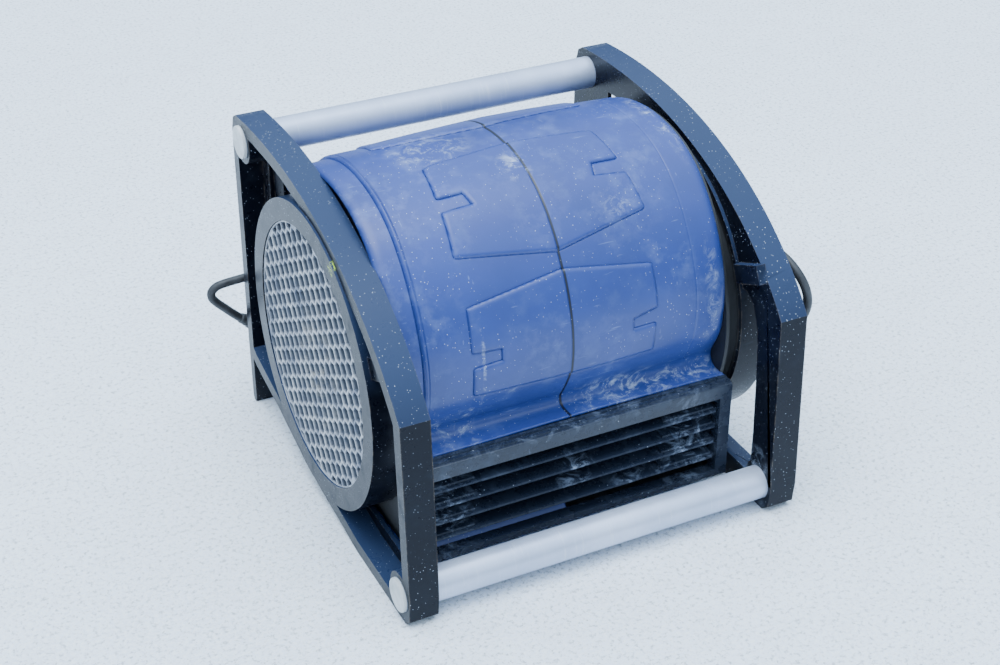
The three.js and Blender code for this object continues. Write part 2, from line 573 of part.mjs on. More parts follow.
const TAIL = [[-89.5, 115.9], [-108, 115.9], [-128, 115.9], [-148, 115.9], [-168, 115.9], [-180, 115.4],
  [-191.5, 114.6], [-200, 112.8], [-204.6, 108.5], [-204.6, 102.5], [-200.5, 96.5], [-194.5, 90],
  [-187.5, 82.5], [-181, 76]].map(([x, z]) => [x, TAIL_DEPTH, z]);

function cordTube(points, sides, steps) {
  const curve = new THREE.CatmullRomCurve3(points.map(at3), false, "centripetal");
  const section = new THREE.Shape(path2(Array.from({ length: sides }, (_, k) => {
    const a = (2 * Math.PI * k) / sides;
    return [CORD_R * Math.cos(a), CORD_R * Math.sin(a)];
  })));
  const g = new THREE.ExtrudeGeometry(section, { steps, extrudePath: curve, bevelEnabled: false });
  return solid(g);
}
add("cord", "power_cord_lead", cordTube(LEAD, 8, 30), FINISH.rubber);
add("cord", "power_cord_tail", cordTube(TAIL, 8, 12), FINISH.rubber);

// The winding: the outer shape of the turns round the two horns.
function stadium(radius) {
  const end = (side) => Array.from({ length: 13 }, (_, i) => {
    const a = -Math.PI / 2 + (Math.PI * i) / 12;
    return [side * (WIND_X + radius * Math.cos(a)), lift(WIND_Z + side * radius * Math.sin(a))];
  });
  return [...end(1), ...end(-1)];
}
add("cord", "power_cord_winding", slabY(stadium(WIND_R + CORD_R + GAP), WIND_FRONT_Y, WIND_BACK_Y,
  [stadium(WIND_R - CORD_R - 0.35)]), FINISH.rubber);

// A tapered piece between two points: radius ra at the first, rb at the second.
function taper(from, to, ra, rb, sides = 20) {
  const [a, b] = [at3(from), at3(to)];
  const way = b.clone().sub(a);
  const g = new THREE.CylinderGeometry(rb, ra, way.length(), sides);
  g.translate(0, way.length() / 2, 0);
  g.applyQuaternion(new THREE.Quaternion().setFromUnitVectors(AXIS_Y, way.normalize()));
  g.translate(a.x, a.y, a.z);
  return solid(g);
}
const reliefStart = [RELIEF_ROOT[0] + 5.6, RELIEF_ROOT[1] - 3.6, RELIEF_ROOT[2] + 1];
const reliefEnd = [RELIEF_TIP[0] - 0.6, RELIEF_TIP[1] + 0.7, RELIEF_TIP[2] - 0.2];
add("cord", "cord_strain_relief", join(
  rodX(PANEL_FACE + GAP, PANEL_FACE + 5, 8.5, place(GLAND), 24),
  taper(reliefStart, reliefEnd, 7, CORD_R + 0.8)), FINISH.rubber);

// Moulded plug with three pins, lying under the tail's loop.
const PLUG_Z = 67;
const PLUG_END = -139;
const plugBody = box([-171, TAIL_DEPTH + SHOULDER - 12.5, lift(PLUG_Z - 11)],
  [PLUG_END, TAIL_DEPTH + SHOULDER + 12.5, lift(PLUG_Z + 11)]);
const plugNeck = taper([-179.4, TAIL_DEPTH, 74.6], [-168, TAIL_DEPTH, PLUG_Z], CORD_R + 0.8, 7.5);
add("cord", "power_plug", join(plugBody, plugNeck), FINISH.rubber);
const PIN_LENGTH = 17;
const flatPin = (dy) => box([PLUG_END + GAP, TAIL_DEPTH + SHOULDER + dy - 0.75, lift(PLUG_Z - 5)],
  [PLUG_END + PIN_LENGTH, TAIL_DEPTH + SHOULDER + dy + 0.75, lift(PLUG_Z + 1.5)]);
add("cord", "plug_line_blade", flatPin(-6.35), FINISH.brass);
add("cord", "plug_neutral_blade", flatPin(6.35), FINISH.brass);
add("cord", "plug_ground_pin", rodX(PLUG_END + GAP, PLUG_END + PIN_LENGTH + 2, 2.4,
  [TAIL_DEPTH + SHOULDER, lift(PLUG_Z + 7.6)], 16), FINISH.brass);

export default fan;
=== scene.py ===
import math
import bmesh
import bpy
import numpy as np
from mathutils import Matrix, Vector


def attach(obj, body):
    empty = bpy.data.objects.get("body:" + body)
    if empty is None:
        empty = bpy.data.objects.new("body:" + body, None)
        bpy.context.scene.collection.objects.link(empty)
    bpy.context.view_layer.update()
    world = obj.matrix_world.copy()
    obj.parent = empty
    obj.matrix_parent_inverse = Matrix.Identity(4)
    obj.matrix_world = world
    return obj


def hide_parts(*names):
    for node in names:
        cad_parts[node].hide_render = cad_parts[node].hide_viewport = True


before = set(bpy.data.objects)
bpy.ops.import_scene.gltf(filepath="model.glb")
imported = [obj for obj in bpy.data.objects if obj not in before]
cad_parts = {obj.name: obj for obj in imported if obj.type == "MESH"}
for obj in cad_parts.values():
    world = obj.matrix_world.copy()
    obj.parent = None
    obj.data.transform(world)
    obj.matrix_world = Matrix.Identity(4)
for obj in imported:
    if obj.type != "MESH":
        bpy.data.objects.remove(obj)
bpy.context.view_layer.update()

# Lengths are in millimetres in the tables and metres in the meshes. Depths count back
# from the side frames' front shoulder, as they do in the model.
MM = 0.001
SHOULDER = -184.0
FLOOR = 5.5  # height of the tables' zero above the floor
PIVOT = (180.0, 141.6)  # depth and height of the head's axis
RING_R, RING_WALL = 131.0, 4.0
FRAME_OUTER, FRAME_INNER, WEB_OUTER = 178.0, 153.0, 157.0  # distances from the middle along x
RING_FACE = 180.0
TOP_TUBE, BOTTOM_TUBE, TUBE_R = (324.0, 271.0), (10.5, 17.6), 14.3
HEAD_SEAM = -8.0  # x of the joint between the housing's halves


def point(x, depth, z):
    return Vector((x * MM, (depth + SHOULDER) * MM, (z + FLOOR) * MM))


def link(obj):
    bpy.context.scene.collection.objects.link(obj)
    return obj


def mesh_object(name, verts, faces, smooth=True):
    mesh = bpy.data.meshes.new(name)
    mesh.from_pydata([tuple(v) for v in verts], [], [tuple(f) for f in faces])
    mesh.validate()
    mesh.update()
    if smooth:
        mesh.polygons.foreach_set("use_smooth", [True] * len(mesh.polygons))
    return link(bpy.data.objects.new(name, mesh))


def tidy_normals(obj):
    """Merges the points that meet and turns the faces outwards."""
    bm = bmesh.new()
    bm.from_mesh(obj.data)
    bmesh.ops.remove_doubles(bm, verts=bm.verts, dist=1e-6)
    bmesh.ops.recalc_face_normals(bm, faces=bm.faces)
    bm.to_mesh(obj.data)
    bm.free()
    return obj


def smooth_by_angle(obj, degrees=35):
    """Smooth shading, with the edges sharper than the angle kept."""
    bm = bmesh.new()
    bm.from_mesh(obj.data)
    limit = math.radians(degrees)
    for edge in bm.edges:
        edge.smooth = len(edge.link_faces) == 2 and edge.calc_face_angle(0) < limit
    for face in bm.faces:
        face.smooth = True
    bm.to_mesh(obj.data)
    bm.free()
    return obj


def spline(points, per_span=8):
    """A centripetal Catmull-Rom curve through the points, sampled evenly in each span."""
    pts = np.array(points, float)
    pts = np.vstack([2 * pts[0] - pts[1], pts, 2 * pts[-1] - pts[-2]])
    out = []
    for i in range(1, len(pts) - 2):
        p0, p1, p2, p3 = pts[i - 1:i + 3]
        t0 = 0.0
        t1 = t0 + math.sqrt(np.linalg.norm(p1 - p0))
        t2 = t1 + math.sqrt(np.linalg.norm(p2 - p1))
        t3 = t2 + math.sqrt(np.linalg.norm(p3 - p2))
        for t in np.linspace(t1, t2, per_span, endpoint=False):
            a1 = (t1 - t) / (t1 - t0) * p0 + (t - t0) / (t1 - t0) * p1
            a2 = (t2 - t) / (t2 - t1) * p1 + (t - t1) / (t2 - t1) * p2
            a3 = (t3 - t) / (t3 - t2) * p2 + (t - t2) / (t3 - t2) * p3
            b1 = (t2 - t) / (t2 - t0) * a1 + (t - t0) / (t2 - t0) * a2
            b2 = (t3 - t) / (t3 - t1) * a2 + (t - t1) / (t3 - t1) * a3
            out.append((t2 - t) / (t2 - t1) * b1 + (t - t1) / (t2 - t1) * b2)
    out.append(pts[-2])
    return np.array(out)


# ---------------------------------------------------------------- camera
CAMERA_PLACE = (-0.5716, -1.1450, 0.9101)
CAMERA_LENS = 62.76
camera = link(bpy.data.objects.new("camera", bpy.data.cameras.new("camera")))
camera.data.sensor_width = 36
camera.data.lens = CAMERA_LENS
azimuth, elevation = math.radians(-26.303), math.radians(31.777)
back = Vector((math.sin(azimuth) * math.cos(elevation),
               -math.cos(azimuth) * math.cos(elevation), math.sin(elevation)))
right = Vector((math.cos(azimuth), math.sin(azimuth), 0))
up = back.cross(right)
turn = Matrix((right, up, back)).transposed()
camera.matrix_world = Matrix.Translation(CAMERA_PLACE) @ turn.to_4x4()
bpy.context.scene.camera = camera

# ---------------------------------------------------------------- material tools
class Surface:
    """Node helpers for one procedural material."""

    def __init__(self, name):
        self.material = bpy.data.materials.new(name)
        self.material.use_nodes = True
        self.tree = self.material.node_tree
        self.tree.nodes.clear()
        out = self.tree.nodes.new("ShaderNodeOutputMaterial")
        self.shader = self.tree.nodes.new("ShaderNodeBsdfPrincipled")
        self.tree.links.new(self.shader.outputs[0], out.inputs[0])
        self.place = self.tree.nodes.new("ShaderNodeTexCoord").outputs["Object"]

    def put(self, socket, value):
        """Links an output to the socket, or sets its constant."""
        if hasattr(value, "is_output"):
            self.tree.links.new(value, socket)
        elif isinstance(value, (tuple, list)) and len(value) == 3 and socket.type == "RGBA":
            socket.default_value = (*value, 1)
        else:
            socket.default_value = value

    def set(self, **values):
        """Sets the shader's inputs by name, with _ for a space."""
        for key, value in values.items():
            self.put(self.shader.inputs[key.replace("_", " ")], value)

    def scaled(self, stretch, turn):
        node = self.tree.nodes.new("ShaderNodeMapping")
        node.inputs["Scale"].default_value = stretch
        node.inputs["Rotation"].default_value = turn
        self.put(node.inputs["Vector"], self.place)
        return node.outputs[0]

    def noise(self, scale, detail=4, rough=0.55, where=None, distort=0):
        node = self.tree.nodes.new("ShaderNodeTexNoise")
        node.inputs["Scale"].default_value = scale
        node.inputs["Detail"].default_value = detail
        node.inputs["Roughness"].default_value = rough
        node.inputs["Distortion"].default_value = distort
        self.put(node.inputs["Vector"], where or self.place)
        return node.outputs["Fac"]

    def cells(self, scale, where):
        """Distance to the cell's centre, and a random value of the cell."""
        node = self.tree.nodes.new("ShaderNodeTexVoronoi")
        node.inputs["Scale"].default_value = scale
        self.put(node.inputs["Vector"], where)
        split = self.tree.nodes.new("ShaderNodeSeparateColor")
        self.tree.links.new(node.outputs["Color"], split.inputs[0])
        return node.outputs["Distance"], split.outputs[0]

    def fit(self, value, low, high, to_low=0.0, to_high=1.0):
        """The value's range from low to high, clamped and mapped to another."""
        node = self.tree.nodes.new("ShaderNodeMapRange")
        for key, number in zip(("From Min", "From Max", "To Min", "To Max"),
                               (low, high, to_low, to_high)):
            node.inputs[key].default_value = number
        self.put(node.inputs["Value"], value)
        return node.outputs[0]

    def maths(self, kind, a, b):
        node = self.tree.nodes.new("ShaderNodeMath")
        node.operation = kind
        self.put(node.inputs[0], a)
        self.put(node.inputs[1], b)
        return node.outputs[0]

    def mix(self, fac, a, b):
        node = self.tree.nodes.new("ShaderNodeMix")
        node.data_type = "RGBA"
        self.put(node.inputs[0], fac)
        self.put(node.inputs[6], a)
        self.put(node.inputs[7], b)
        return node.outputs[2]

    def along_x(self):
        node = self.tree.nodes.new("ShaderNodeSeparateXYZ")
        self.put(node.inputs[0], self.place)
        return node.outputs[0]

    def bump(self, height, strength, distance):
        node = self.tree.nodes.new("ShaderNodeBump")
        node.inputs["Strength"].default_value = strength
        node.inputs["Distance"].default_value = distance
        self.put(node.inputs["Height"], height)
        self.put(self.shader.inputs["Normal"], node.outputs[0])

    def specks(self, scale, size, share):
        """Small specks: the share of cells that hold one, and their size; their edges are uneven."""
        shift = self.tree.nodes.new("ShaderNodeTexNoise")
        shift.inputs["Scale"].default_value = scale * 0.9
        self.put(shift.inputs["Vector"], self.place)
        moved = self.tree.nodes.new("ShaderNodeMix")
        moved.data_type = "VECTOR"
        moved.inputs[0].default_value = 0.5 / scale
        self.put(moved.inputs[4], self.place)
        self.put(moved.inputs[5], shift.outputs["Color"])
        distance, pick = self.cells(scale, moved.outputs[1])
        dot = self.fit(distance, size, size * 0.6)
        return self.maths("MULTIPLY", dot, self.maths("LESS_THAN", pick, share))

    def near(self, centre, reach):
        """One at the centre, falling to nothing at the reach along each axis, in mm of the tables."""
        node = self.tree.nodes.new("ShaderNodeVectorMath")
        node.operation = "SUBTRACT"
        self.put(node.inputs[0], self.place)
        node.inputs[1].default_value = point(*centre)
        shaped = self.tree.nodes.new("ShaderNodeVectorMath")
        shaped.operation = "DIVIDE"
        self.put(shaped.inputs[0], node.outputs[0])
        shaped.inputs[1].default_value = [r * MM for r in reach]
        size = self.tree.nodes.new("ShaderNodeVectorMath")
        size.operation = "LENGTH"
        self.put(size.inputs[0], shaped.outputs[0])
        return self.fit(size.outputs["Value"], 1.0, 0.25)

    def upward(self):
        """One on surfaces that face up, nothing on upright ones."""
        geometry = self.tree.nodes.new("ShaderNodeNewGeometry")
        node = self.tree.nodes.new("ShaderNodeSeparateXYZ")
        self.put(node.inputs[0], geometry.outputs["Normal"])
        return self.fit(node.outputs[2], 0.25, 0.75)

    def edges(self, radius, low=0.02, high=0.16):
        """The worn edges: where a rounded normal leaves the surface's own."""
        round_normal = self.tree.nodes.new("ShaderNodeBevel")
        round_normal.inputs["Radius"].default_value = radius
        geometry = self.tree.nodes.new("ShaderNodeNewGeometry")
        dot = self.tree.nodes.new("ShaderNodeVectorMath")
        dot.operation = "DOT_PRODUCT"
        self.put(dot.inputs[0], round_normal.outputs[0])
        self.put(dot.inputs[1], geometry.outputs["Normal"])
        return self.fit(dot.outputs["Value"], 1 - low, 1 - high)

    def streaks(self, scale, stretch, low, high, turn=(0, 0, 0)):
        """Long thin marks: a noise stretched along one direction."""
        return self.fit(self.noise(scale, 3, 0.6, self.scaled(stretch, turn)), low, high)


GRAIN = 0.12  # strength of the moulded grain


def worn_plastic(name, color, rough, dust, speck_share, scuffed=True, marks=(), wear=None,
                 deposit=(0.5, 0.58, 0.72), shine=0.5, painted_top_sheen=None, seam=None):
    """Moulded plastic with broad shading, a dusty film, scratches and paint specks.

    Marks are deposits as (centre, reach, strength), with their own colour as a fourth value if
    they have one. Wear is the colour of rubbed edges. The colour after it is a painted sheen on
    up-facing surfaces, a painted reflection of the sky. Seam is the x of a dark line.
    """
    s = Surface(name)
    broad = s.noise(7, 5, 0.6)
    fine = s.noise(60, 6, 0.65)
    shade = s.mix(s.fit(broad, 0.3, 0.7), tuple(c * 0.84 for c in color),
                  tuple(c * 1.18 for c in color))
    cloud = s.fit(s.noise(11, 5, 0.6), 0.42, 0.72)
    film = s.maths("MULTIPLY", s.fit(fine, 0.48, 0.78), cloud)
    shade = s.mix(s.maths("MULTIPLY", film, 0.4 if scuffed else 0.2), shade, dust)
    lengthwise = s.streaks(26, (1, 9, 9), 0.68, 0.76)
    slanting = s.streaks(24, (8, 1.2, 3), 0.69, 0.76, turn=(0.4, 0.2, 0.7))
    scratches = s.maths("MULTIPLY", s.maths("MAXIMUM", lengthwise, slanting), 0.3)
    shade = s.mix(scratches, shade, dust)
    if wear:
        rubbed = s.maths("MULTIPLY", s.edges(0.0018), s.fit(s.noise(90, 5, 0.7), 0.42, 0.62))
        shade = s.mix(s.maths("MULTIPLY", rubbed, 0.75), shade, wear)
    # Painted sheen: up-facing surfaces are tinted towards a light colour, a painted reflection of the
    # sky.
    if painted_top_sheen:
        shade = s.mix(s.maths("MULTIPLY", s.upward(), 0.8), shade, painted_top_sheen)
    if seam is not None:
        away = s.maths("ABSOLUTE", s.maths("SUBTRACT", s.along_x(), seam * MM), 0.0)
        shade = s.mix(s.fit(away, 0.0011, 0.0006), shade, (0.008, 0.010, 0.02))
    flaky = s.fit(s.noise(70, 11, 0.78, distort=0.8), 0.5, 0.64)
    for centre, reach, strength, *paint in marks:
        patch = s.maths("MULTIPLY", s.near(centre, reach), strength)
        shade = s.mix(s.maths("MULTIPLY", patch, flaky), shade, paint[0] if paint else deposit)
    small, large = s.specks(340, 0.14, speck_share), s.specks(170, 0.065, speck_share * 0.5)
    dots = s.maths("MAXIMUM", small, large)
    dots = s.maths("MULTIPLY", dots, s.fit(s.noise(14, 4, 0.6), 0.36, 0.6))
    shade = s.mix(s.maths("MULTIPLY", dots, 0.85), shade, (0.62, 0.68, 0.78))
    s.set(Base_Color=shade, Specular_IOR_Level=shine)
    dull = s.maths("ADD", film, s.maths("MULTIPLY", fine, 0.4))
    s.set(Roughness=s.fit(dull, 0, 1, rough - 0.08, rough + 0.25))
    s.bump(s.maths("ADD", s.noise(1400, 2, 0.5), s.maths("MULTIPLY", dots, 0.2)), GRAIN, 0.0004)
    return s.material


# ---------------------------------------------------------------- power cord
CORD_R = 3.9
WIND_X, WIND_Z, WIND_R = 69.1, 92.5, 23.4  # centres of the two turns, and their radius
UPPER_RUN = WIND_Z + WIND_R
LAYERS = (352.6, 360.3, 367.8)  # depths of the winding's layers
TAIL_DEPTH = 367.8
RELIEF_ROOT = (164.0, 118.0, 192.0)
LEAD = [
    (182, 101.8, 197), (187, 93.5, 199), (189.3, 82, 201.5), (189.8, 68, 204.5), (189.4, 54, 205.2),
    (190, 42, 202.5), (193, 33.5, 195), (197, 29.5, 184), (200, 30, 171), (201, 35, 156),
    (200.5, 44, 140), (198.5, 56, 122), (196, 71, 104), (193, 90, 87), (190.5, 114, 73),
    (189, 142, 65), (188.5, 172, 61.5), (188.5, 204, 63), (188.5, 236, 69), (189, 266, 79),
    (189.5, 294, 91), (189.5, 322, 104), (188.8, 341, 111), (186.4, 353, 114.6), (179.9, 362.9, 116),
    (169.9, 368.6, 116.2), (157, 369.6, 116.2), (142, 366.6, 116.1), (126, 361, 116), (110, 356, 115.9),
    (98, 353.6, 115.9), (88, 352.6, 115.9),
]


def winding():
    """Two and a half turns round the horns, one layer behind another."""
    route = []
    for layer in range(3):
        depth = LAYERS[layer]
        for x in np.linspace(WIND_X, -WIND_X, 5):
            route.append((x, depth, UPPER_RUN))
        if layer == 2:
            break
        for a in np.linspace(90, 270, 9)[1:-1]:
            t = math.radians(a)
            route.append((-WIND_X + WIND_R * math.cos(t), depth, WIND_Z + WIND_R * math.sin(t)))
        after = LAYERS[layer + 1]
        for i, x in enumerate(np.linspace(-WIND_X, WIND_X, 7)):
            ease = i / 6
            ease = ease * ease * (3 - 2 * ease)
            route.append((x, depth + (after - depth) * ease, WIND_Z - WIND_R))
        for a in np.linspace(-90, 90, 9)[1:-1]:
            t = math.radians(a)
            route.append((WIND_X + WIND_R * math.cos(t), after, WIND_Z + WIND_R * math.sin(t)))
    return route


TAIL = [(x, TAIL_DEPTH, z) for x, z in (
    (-88, 115.9), (-108, 115.9), (-128, 115.9), (-148, 115.9), (-168, 115.9), (-180, 115.4),
    (-191.5, 114.6), (-200, 112.8), (-204.6, 108.5), (-204.6, 102.5), (-200.5, 96.5), (-194.5, 90),
    (-187.5, 82.5), (-181, 76))]
route = [RELIEF_ROOT, (173, 110, 194.5)] + LEAD + winding() + TAIL
line = spline([point(*p) for p in route], 8)
curve = bpy.data.curves.new("power_cord", "CURVE")
curve.dimensions = "3D"
poly = curve.splines.new("POLY")
poly.points.add(len(line) - 1)
poly.points.foreach_set("co", np.c_[line, np.ones(len(line))].ravel())
curve.bevel_depth = CORD_R * MM
curve.bevel_resolution = 5
curve.use_fill_caps = True
cord = link(bpy.data.objects.new("power_cord", curve))


def lathe_between(name, start, end, profile, sides=32):
    """A turned piece whose profile of [share of the way, radius in mm] runs from start to end."""
    a, b = Vector(start), Vector(end)
    way = b - a
    q = Vector((0, 0, 1)).rotation_difference(way.normalized())
    verts, faces = [], []
    for share, radius in profile:
        for k in range(sides):
            t = 2 * math.pi * k / sides
            v = Vector((radius * MM * math.cos(t), radius * MM * math.sin(t), share * way.length))
            verts.append(a + q @ v)
    for i in range(len(profile) - 1):
        for k in range(sides):
            m = (k + 1) % sides
            faces.append((i * sides + k, i * sides + m, (i + 1) * sides + m, (i + 1) * sides + k))
    faces.append(tuple(range(sides))[::-1])
    faces.append(tuple((len(profile) - 1) * sides + k for k in range(sides)))
    return mesh_object(name, verts, faces)


RELIEF_RIBS = 7
relief_profile = [(0, 7.6)]
for i in range(RELIEF_RIBS):
    base = i / RELIEF_RIBS
    r = 7.0 - 2.4 * base
    relief_profile += [(base + 0.02, r), (base + 0.08, r), (base + 0.1, r - 0.9),
                       (base + 0.13, r - 0.9)]
relief_profile += [(0.99, 4.6), (1, 4.2)]
relief = lathe_between("strain_relief", point(167.5, 115.6, 193), point(182.4, 101.4, 197.1),
                       relief_profile)
collar = lathe_between("relief_collar", point(164.3, 118, 192), point(169.6, 118, 192),
                       [(0, 8.5), (0.7, 8.5), (0.95, 7.6), (1, 6.5)])

rubber = Surface("cord_rubber")
rubber.set(Base_Color=rubber.mix(rubber.fit(rubber.noise(45, 5), 0.35, 0.75),
                                 (0.012, 0.012, 0.014), (0.05, 0.052, 0.055)),
           Roughness=rubber.fit(rubber.noise(120, 4), 0.3, 0.7, 0.42, 0.62))
rubber.bump(rubber.noise(700, 3), 0.1, 0.0003)


def rounded_box(name, lo, hi, radius):
    bm = bmesh.new()
    bmesh.ops.create_cube(bm, size=1)
    for v in bm.verts:
        for i in range(3):
            v.co[i] = lo[i] if v.co[i] < 0 else hi[i]
    bmesh.ops.bevel(bm, geom=bm.edges[:], offset=radius, segments=4, profile=0.5, affect="EDGES")
    mesh = bpy.data.meshes.new(name)
    bm.to_mesh(mesh)
    bm.free()
    obj = link(bpy.data.objects.new(name, mesh))
    return smooth_by_angle(obj, 50)


PLUG_Z = 67.0
plug_body = rounded_box("plug_body", point(-170.5, TAIL_DEPTH - 12.3, PLUG_Z - 10.8),
                        point(-139, TAIL_DEPTH + 12.3, PLUG_Z + 10.8), 3.5 * MM)
plug_neck = lathe_between("plug_neck", point(-180.3, TAIL_DEPTH, 75.3),
                          point(-169, TAIL_DEPTH, PLUG_Z + 0.6),
                          [(0, 4.3), (0.1, 4.8), (0.25, 4.9), (0.3, 4.5), (0.4, 5.6), (0.52, 5.7),
                           (0.57, 5.2), (0.7, 6.6), (0.84, 6.8), (1, 7.6)])
for piece in (cord, relief, collar, plug_body, plug_neck):
    piece.data.materials.append(rubber.material)
    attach(piece, "frame")
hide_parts("power_cord_lead", "power_cord_tail", "power_cord_winding")
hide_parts("cord_strain_relief")
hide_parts("power_plug")

# ---------------------------------------------------------------- floor and light
FLOOR_HALF = 14
floor = mesh_object("floor", [(-FLOOR_HALF, -FLOOR_HALF, 0), (FLOOR_HALF, -FLOOR_HALF, 0),
                              (FLOOR_HALF, FLOOR_HALF, 0), (-FLOOR_HALF, FLOOR_HALF, 0)],
                    [(0, 1, 2, 3)])
s = Surface("floor_concrete")
tone = s.mix(s.fit(s.noise(2.2, 6, 0.6), 0.3, 0.7), (0.73, 0.79, 0.87), (0.83, 0.88, 0.95))
tone = s.mix(s.fit(s.noise(26, 5, 0.65), 0.45, 0.75, 0, 0.5), tone, (0.62, 0.65, 0.68))
tone = s.mix(s.fit(s.noise(330, 4, 0.8), 0.44, 0.58, 0, 0.9), tone, (0.90, 0.92, 0.93))
tone = s.mix(s.fit(s.noise(230, 5, 0.8), 0.52, 0.63, 0, 0.85), tone, (0.34, 0.36, 0.38))
tone = s.mix(s.maths("MULTIPLY", s.specks(150, 0.13, 0.1), 0.7), tone, (0.2, 0.2, 0.2))
s.set(Base_Color=tone, Roughness=0.85)
s.bump(s.noise(300, 4, 0.7), 0.35, 0.001)
floor.data.materials.append(s.material)

# An overcast sky: bluish, and brightest overhead.
SKY_TOP = (-0.05, -0.04, 1.0)
SKY_GRADE = (0.12, 1.0, 0.10, 4.3)  # cosines to the brightest place, and the strengths there
world = bpy.data.worlds.new("studio")
bpy.context.scene.world = world
world.use_nodes = True
sky = world.node_tree
way = sky.nodes.new("ShaderNodeTexCoord")
toward = sky.nodes.new("ShaderNodeVectorMath")
toward.operation = "DOT_PRODUCT"
toward.inputs[1].default_value = Vector(SKY_TOP).normalized()
sky.links.new(way.outputs["Generated"], toward.inputs[0])
grade = sky.nodes.new("ShaderNodeMapRange")
for key, number in zip(("From Min", "From Max", "To Min", "To Max"), SKY_GRADE):
    grade.inputs[key].default_value = number
sky.links.new(toward.outputs["Value"], grade.inputs["Value"])
sky.nodes["Background"].inputs[0].default_value = (0.60, 0.78, 1.0, 1)
sky.links.new(grade.outputs[0], sky.nodes["Background"].inputs[1])

LIGHT_PLACE, LIGHT_AIM = Vector((-0.5, -0.2, 3.4)), Vector((0, 0, 0.1))
light = bpy.data.lights.new("sky_top", "AREA")
light.shape = "DISK"
light.size = 2.6
light.energy = 120
light.color = (0.84, 0.92, 1.0)
lamp = link(bpy.data.objects.new("sky_top", light))
lamp.location = LIGHT_PLACE
lamp.rotation_euler = (LIGHT_PLACE - LIGHT_AIM).to_track_quat("Z", "Y").to_euler()

# ---------------------------------------------------------------- finishes
BLUE_DUST = (0.27, 0.36, 0.62)
DEPOSITS = [
    ((40, 62, 116), (48, 26, 16), 1.0), ((88, 64, 108), (40, 24, 14), 0.9),
    ((122, 70, 108), (22, 24, 14), 0.8), ((-94, 60, 122), (12, 20, 22), 1.0),
    ((-84, 66, 176), (2.2, 26, 60), 0.8), ((-118, 60, 120), (22, 20, 16), 0.8),
    ((-66, 190, 292), (42, 36, 20), 0.7), ((-16, 140, 292), (16, 20, 16), 0.8),
    ((128, 176, 290), (10, 70, 44), 0.55), ((124, 70, 176), (10, 34, 60), 0.6),
    ((52, 100, 262), (22, 18, 18), 0.6), ((-60, 64, 150), (16, 14, 12), 0.7),
]
FRAME_MARKS = [
    ((-166, 4, -4), (18, 8, 7), 1.0), ((166, 4, 0), (18, 10, 9), 0.6),
    ((153, 20, 30), (8, 24, 30), 0.5), ((-179, 120, 255), (7, 7, 9), 4.0, (0.55, 0.72, 0.10)),
    ((-154, 352, 290), (6, 9, 9), 1.0, (0.30, 0.26, 0.20)),
    ((-157, 330, 190), (4, 24, 110), 0.5, (0.10, 0.08, 0.07)),
]
LOUVRE_MARKS = [
    ((100, 48, 54), (34, 30, 60), 1.0), ((-8, 46, 62), (20, 20, 26), 1.0),
    ((-122, 48, 50), (30, 30, 60), 0.8), ((0, 44, 106), (150, 12, 8), 0.3),
    ((48, 44, 34), (30, 20, 12), 0.5),
]
blue = worn_plastic("housing_blue", (0.027, 0.051, 0.215), 0.38, BLUE_DUST, 0.55, marks=DEPOSITS,
                    seam=HEAD_SEAM)
# The frame's up-facing surfaces get a bluish painted sheen, a painted reflection of the sky.
black = worn_plastic("frame_black", (0.0035, 0.0045, 0.009), 0.30, (0.030, 0.040, 0.060), 0.8,
                     marks=FRAME_MARKS, wear=(0.16, 0.13, 0.10), shine=0.16,
                     painted_top_sheen=(0.030, 0.049, 0.105))
louvre_black = worn_plastic("louvre_black", (0.012, 0.017, 0.030), 0.28, (0.12, 0.16, 0.24), 0.2,
                            marks=LOUVRE_MARKS, deposit=(0.30, 0.36, 0.48), shine=0.4)
dark_grey = worn_plastic("ring_grey", (0.055, 0.063, 0.072), 0.42, (0.28, 0.28, 0.26), 0.15,
                         wear=(0.22, 0.18, 0.13))
inner_black = worn_plastic("inner_black", (0.012, 0.013, 0.015), 0.5, (0.1, 0.1, 0.1), 0.05,
                           scuffed=False)

s = Surface("grille_grey")
# Painted shade: the cells' walls more than about 2 mm behind the face are painted dark, and only the
# face keeps the lit tone.
front = s.fit(s.along_x(), -0.1786, -0.1768, 1, 0)
patchy = s.fit(s.noise(34, 5, 0.65), 0.36, 0.64)
lit = s.mix(patchy, (0.16, 0.18, 0.23), (0.54, 0.54, 0.55))
tone = s.mix(front, (0.105, 0.12, 0.15), lit)
grime = s.maths("MULTIPLY", s.fit(s.noise(60, 5, 0.7), 0.5, 0.72),
                s.near((-178, 172, 128), (20, 58, 90)))
s.set(Base_Color=s.mix(s.maths("MULTIPLY", grime, 0.8), tone, (0.60, 0.56, 0.50)),
      Roughness=s.fit(s.noise(90, 4), 0.3, 0.7, 0.42, 0.6))
s.bump(s.noise(900, 2), 0.1, 0.0003)
grille_grey = s.material

s = Surface("tube_metal")
tint = s.mix(s.fit(s.noise(18, 5), 0.3, 0.7), (0.42, 0.48, 0.61), (0.56, 0.62, 0.75))
brushed = s.maths("MULTIPLY", s.streaks(30, (14, 1, 1), 0.6, 0.75), 0.4)
tint = s.mix(brushed, tint, (0.78, 0.8, 0.84))
s.set(Base_Color=tint, Metallic=0.35, Roughness=s.fit(s.noise(70, 5), 0.3, 0.7, 0.3, 0.46))
s.bump(s.noise(500, 3), 0.05, 0.0003)
tube_metal = s.material

s = Surface("cap_plastic")
s.set(Base_Color=s.mix(s.fit(s.noise(90, 5), 0.35, 0.7), (0.50, 0.51, 0.50), (0.66, 0.67, 0.66)),
      Roughness=0.5)
s.bump(s.noise(600, 3), 0.15, 0.0003)
cap_plastic = s.material

s = Surface("steel")
s.set(Base_Color=s.mix(s.fit(s.noise(150, 4), 0.35, 0.7), (0.32, 0.32, 0.33), (0.5, 0.5, 0.51)),
      Metallic=0.85, Roughness=s.fit(s.noise(220, 3), 0.3, 0.7, 0.3, 0.5))
s.bump(s.noise(900, 2), 0.06, 0.0002)
steel = s.material

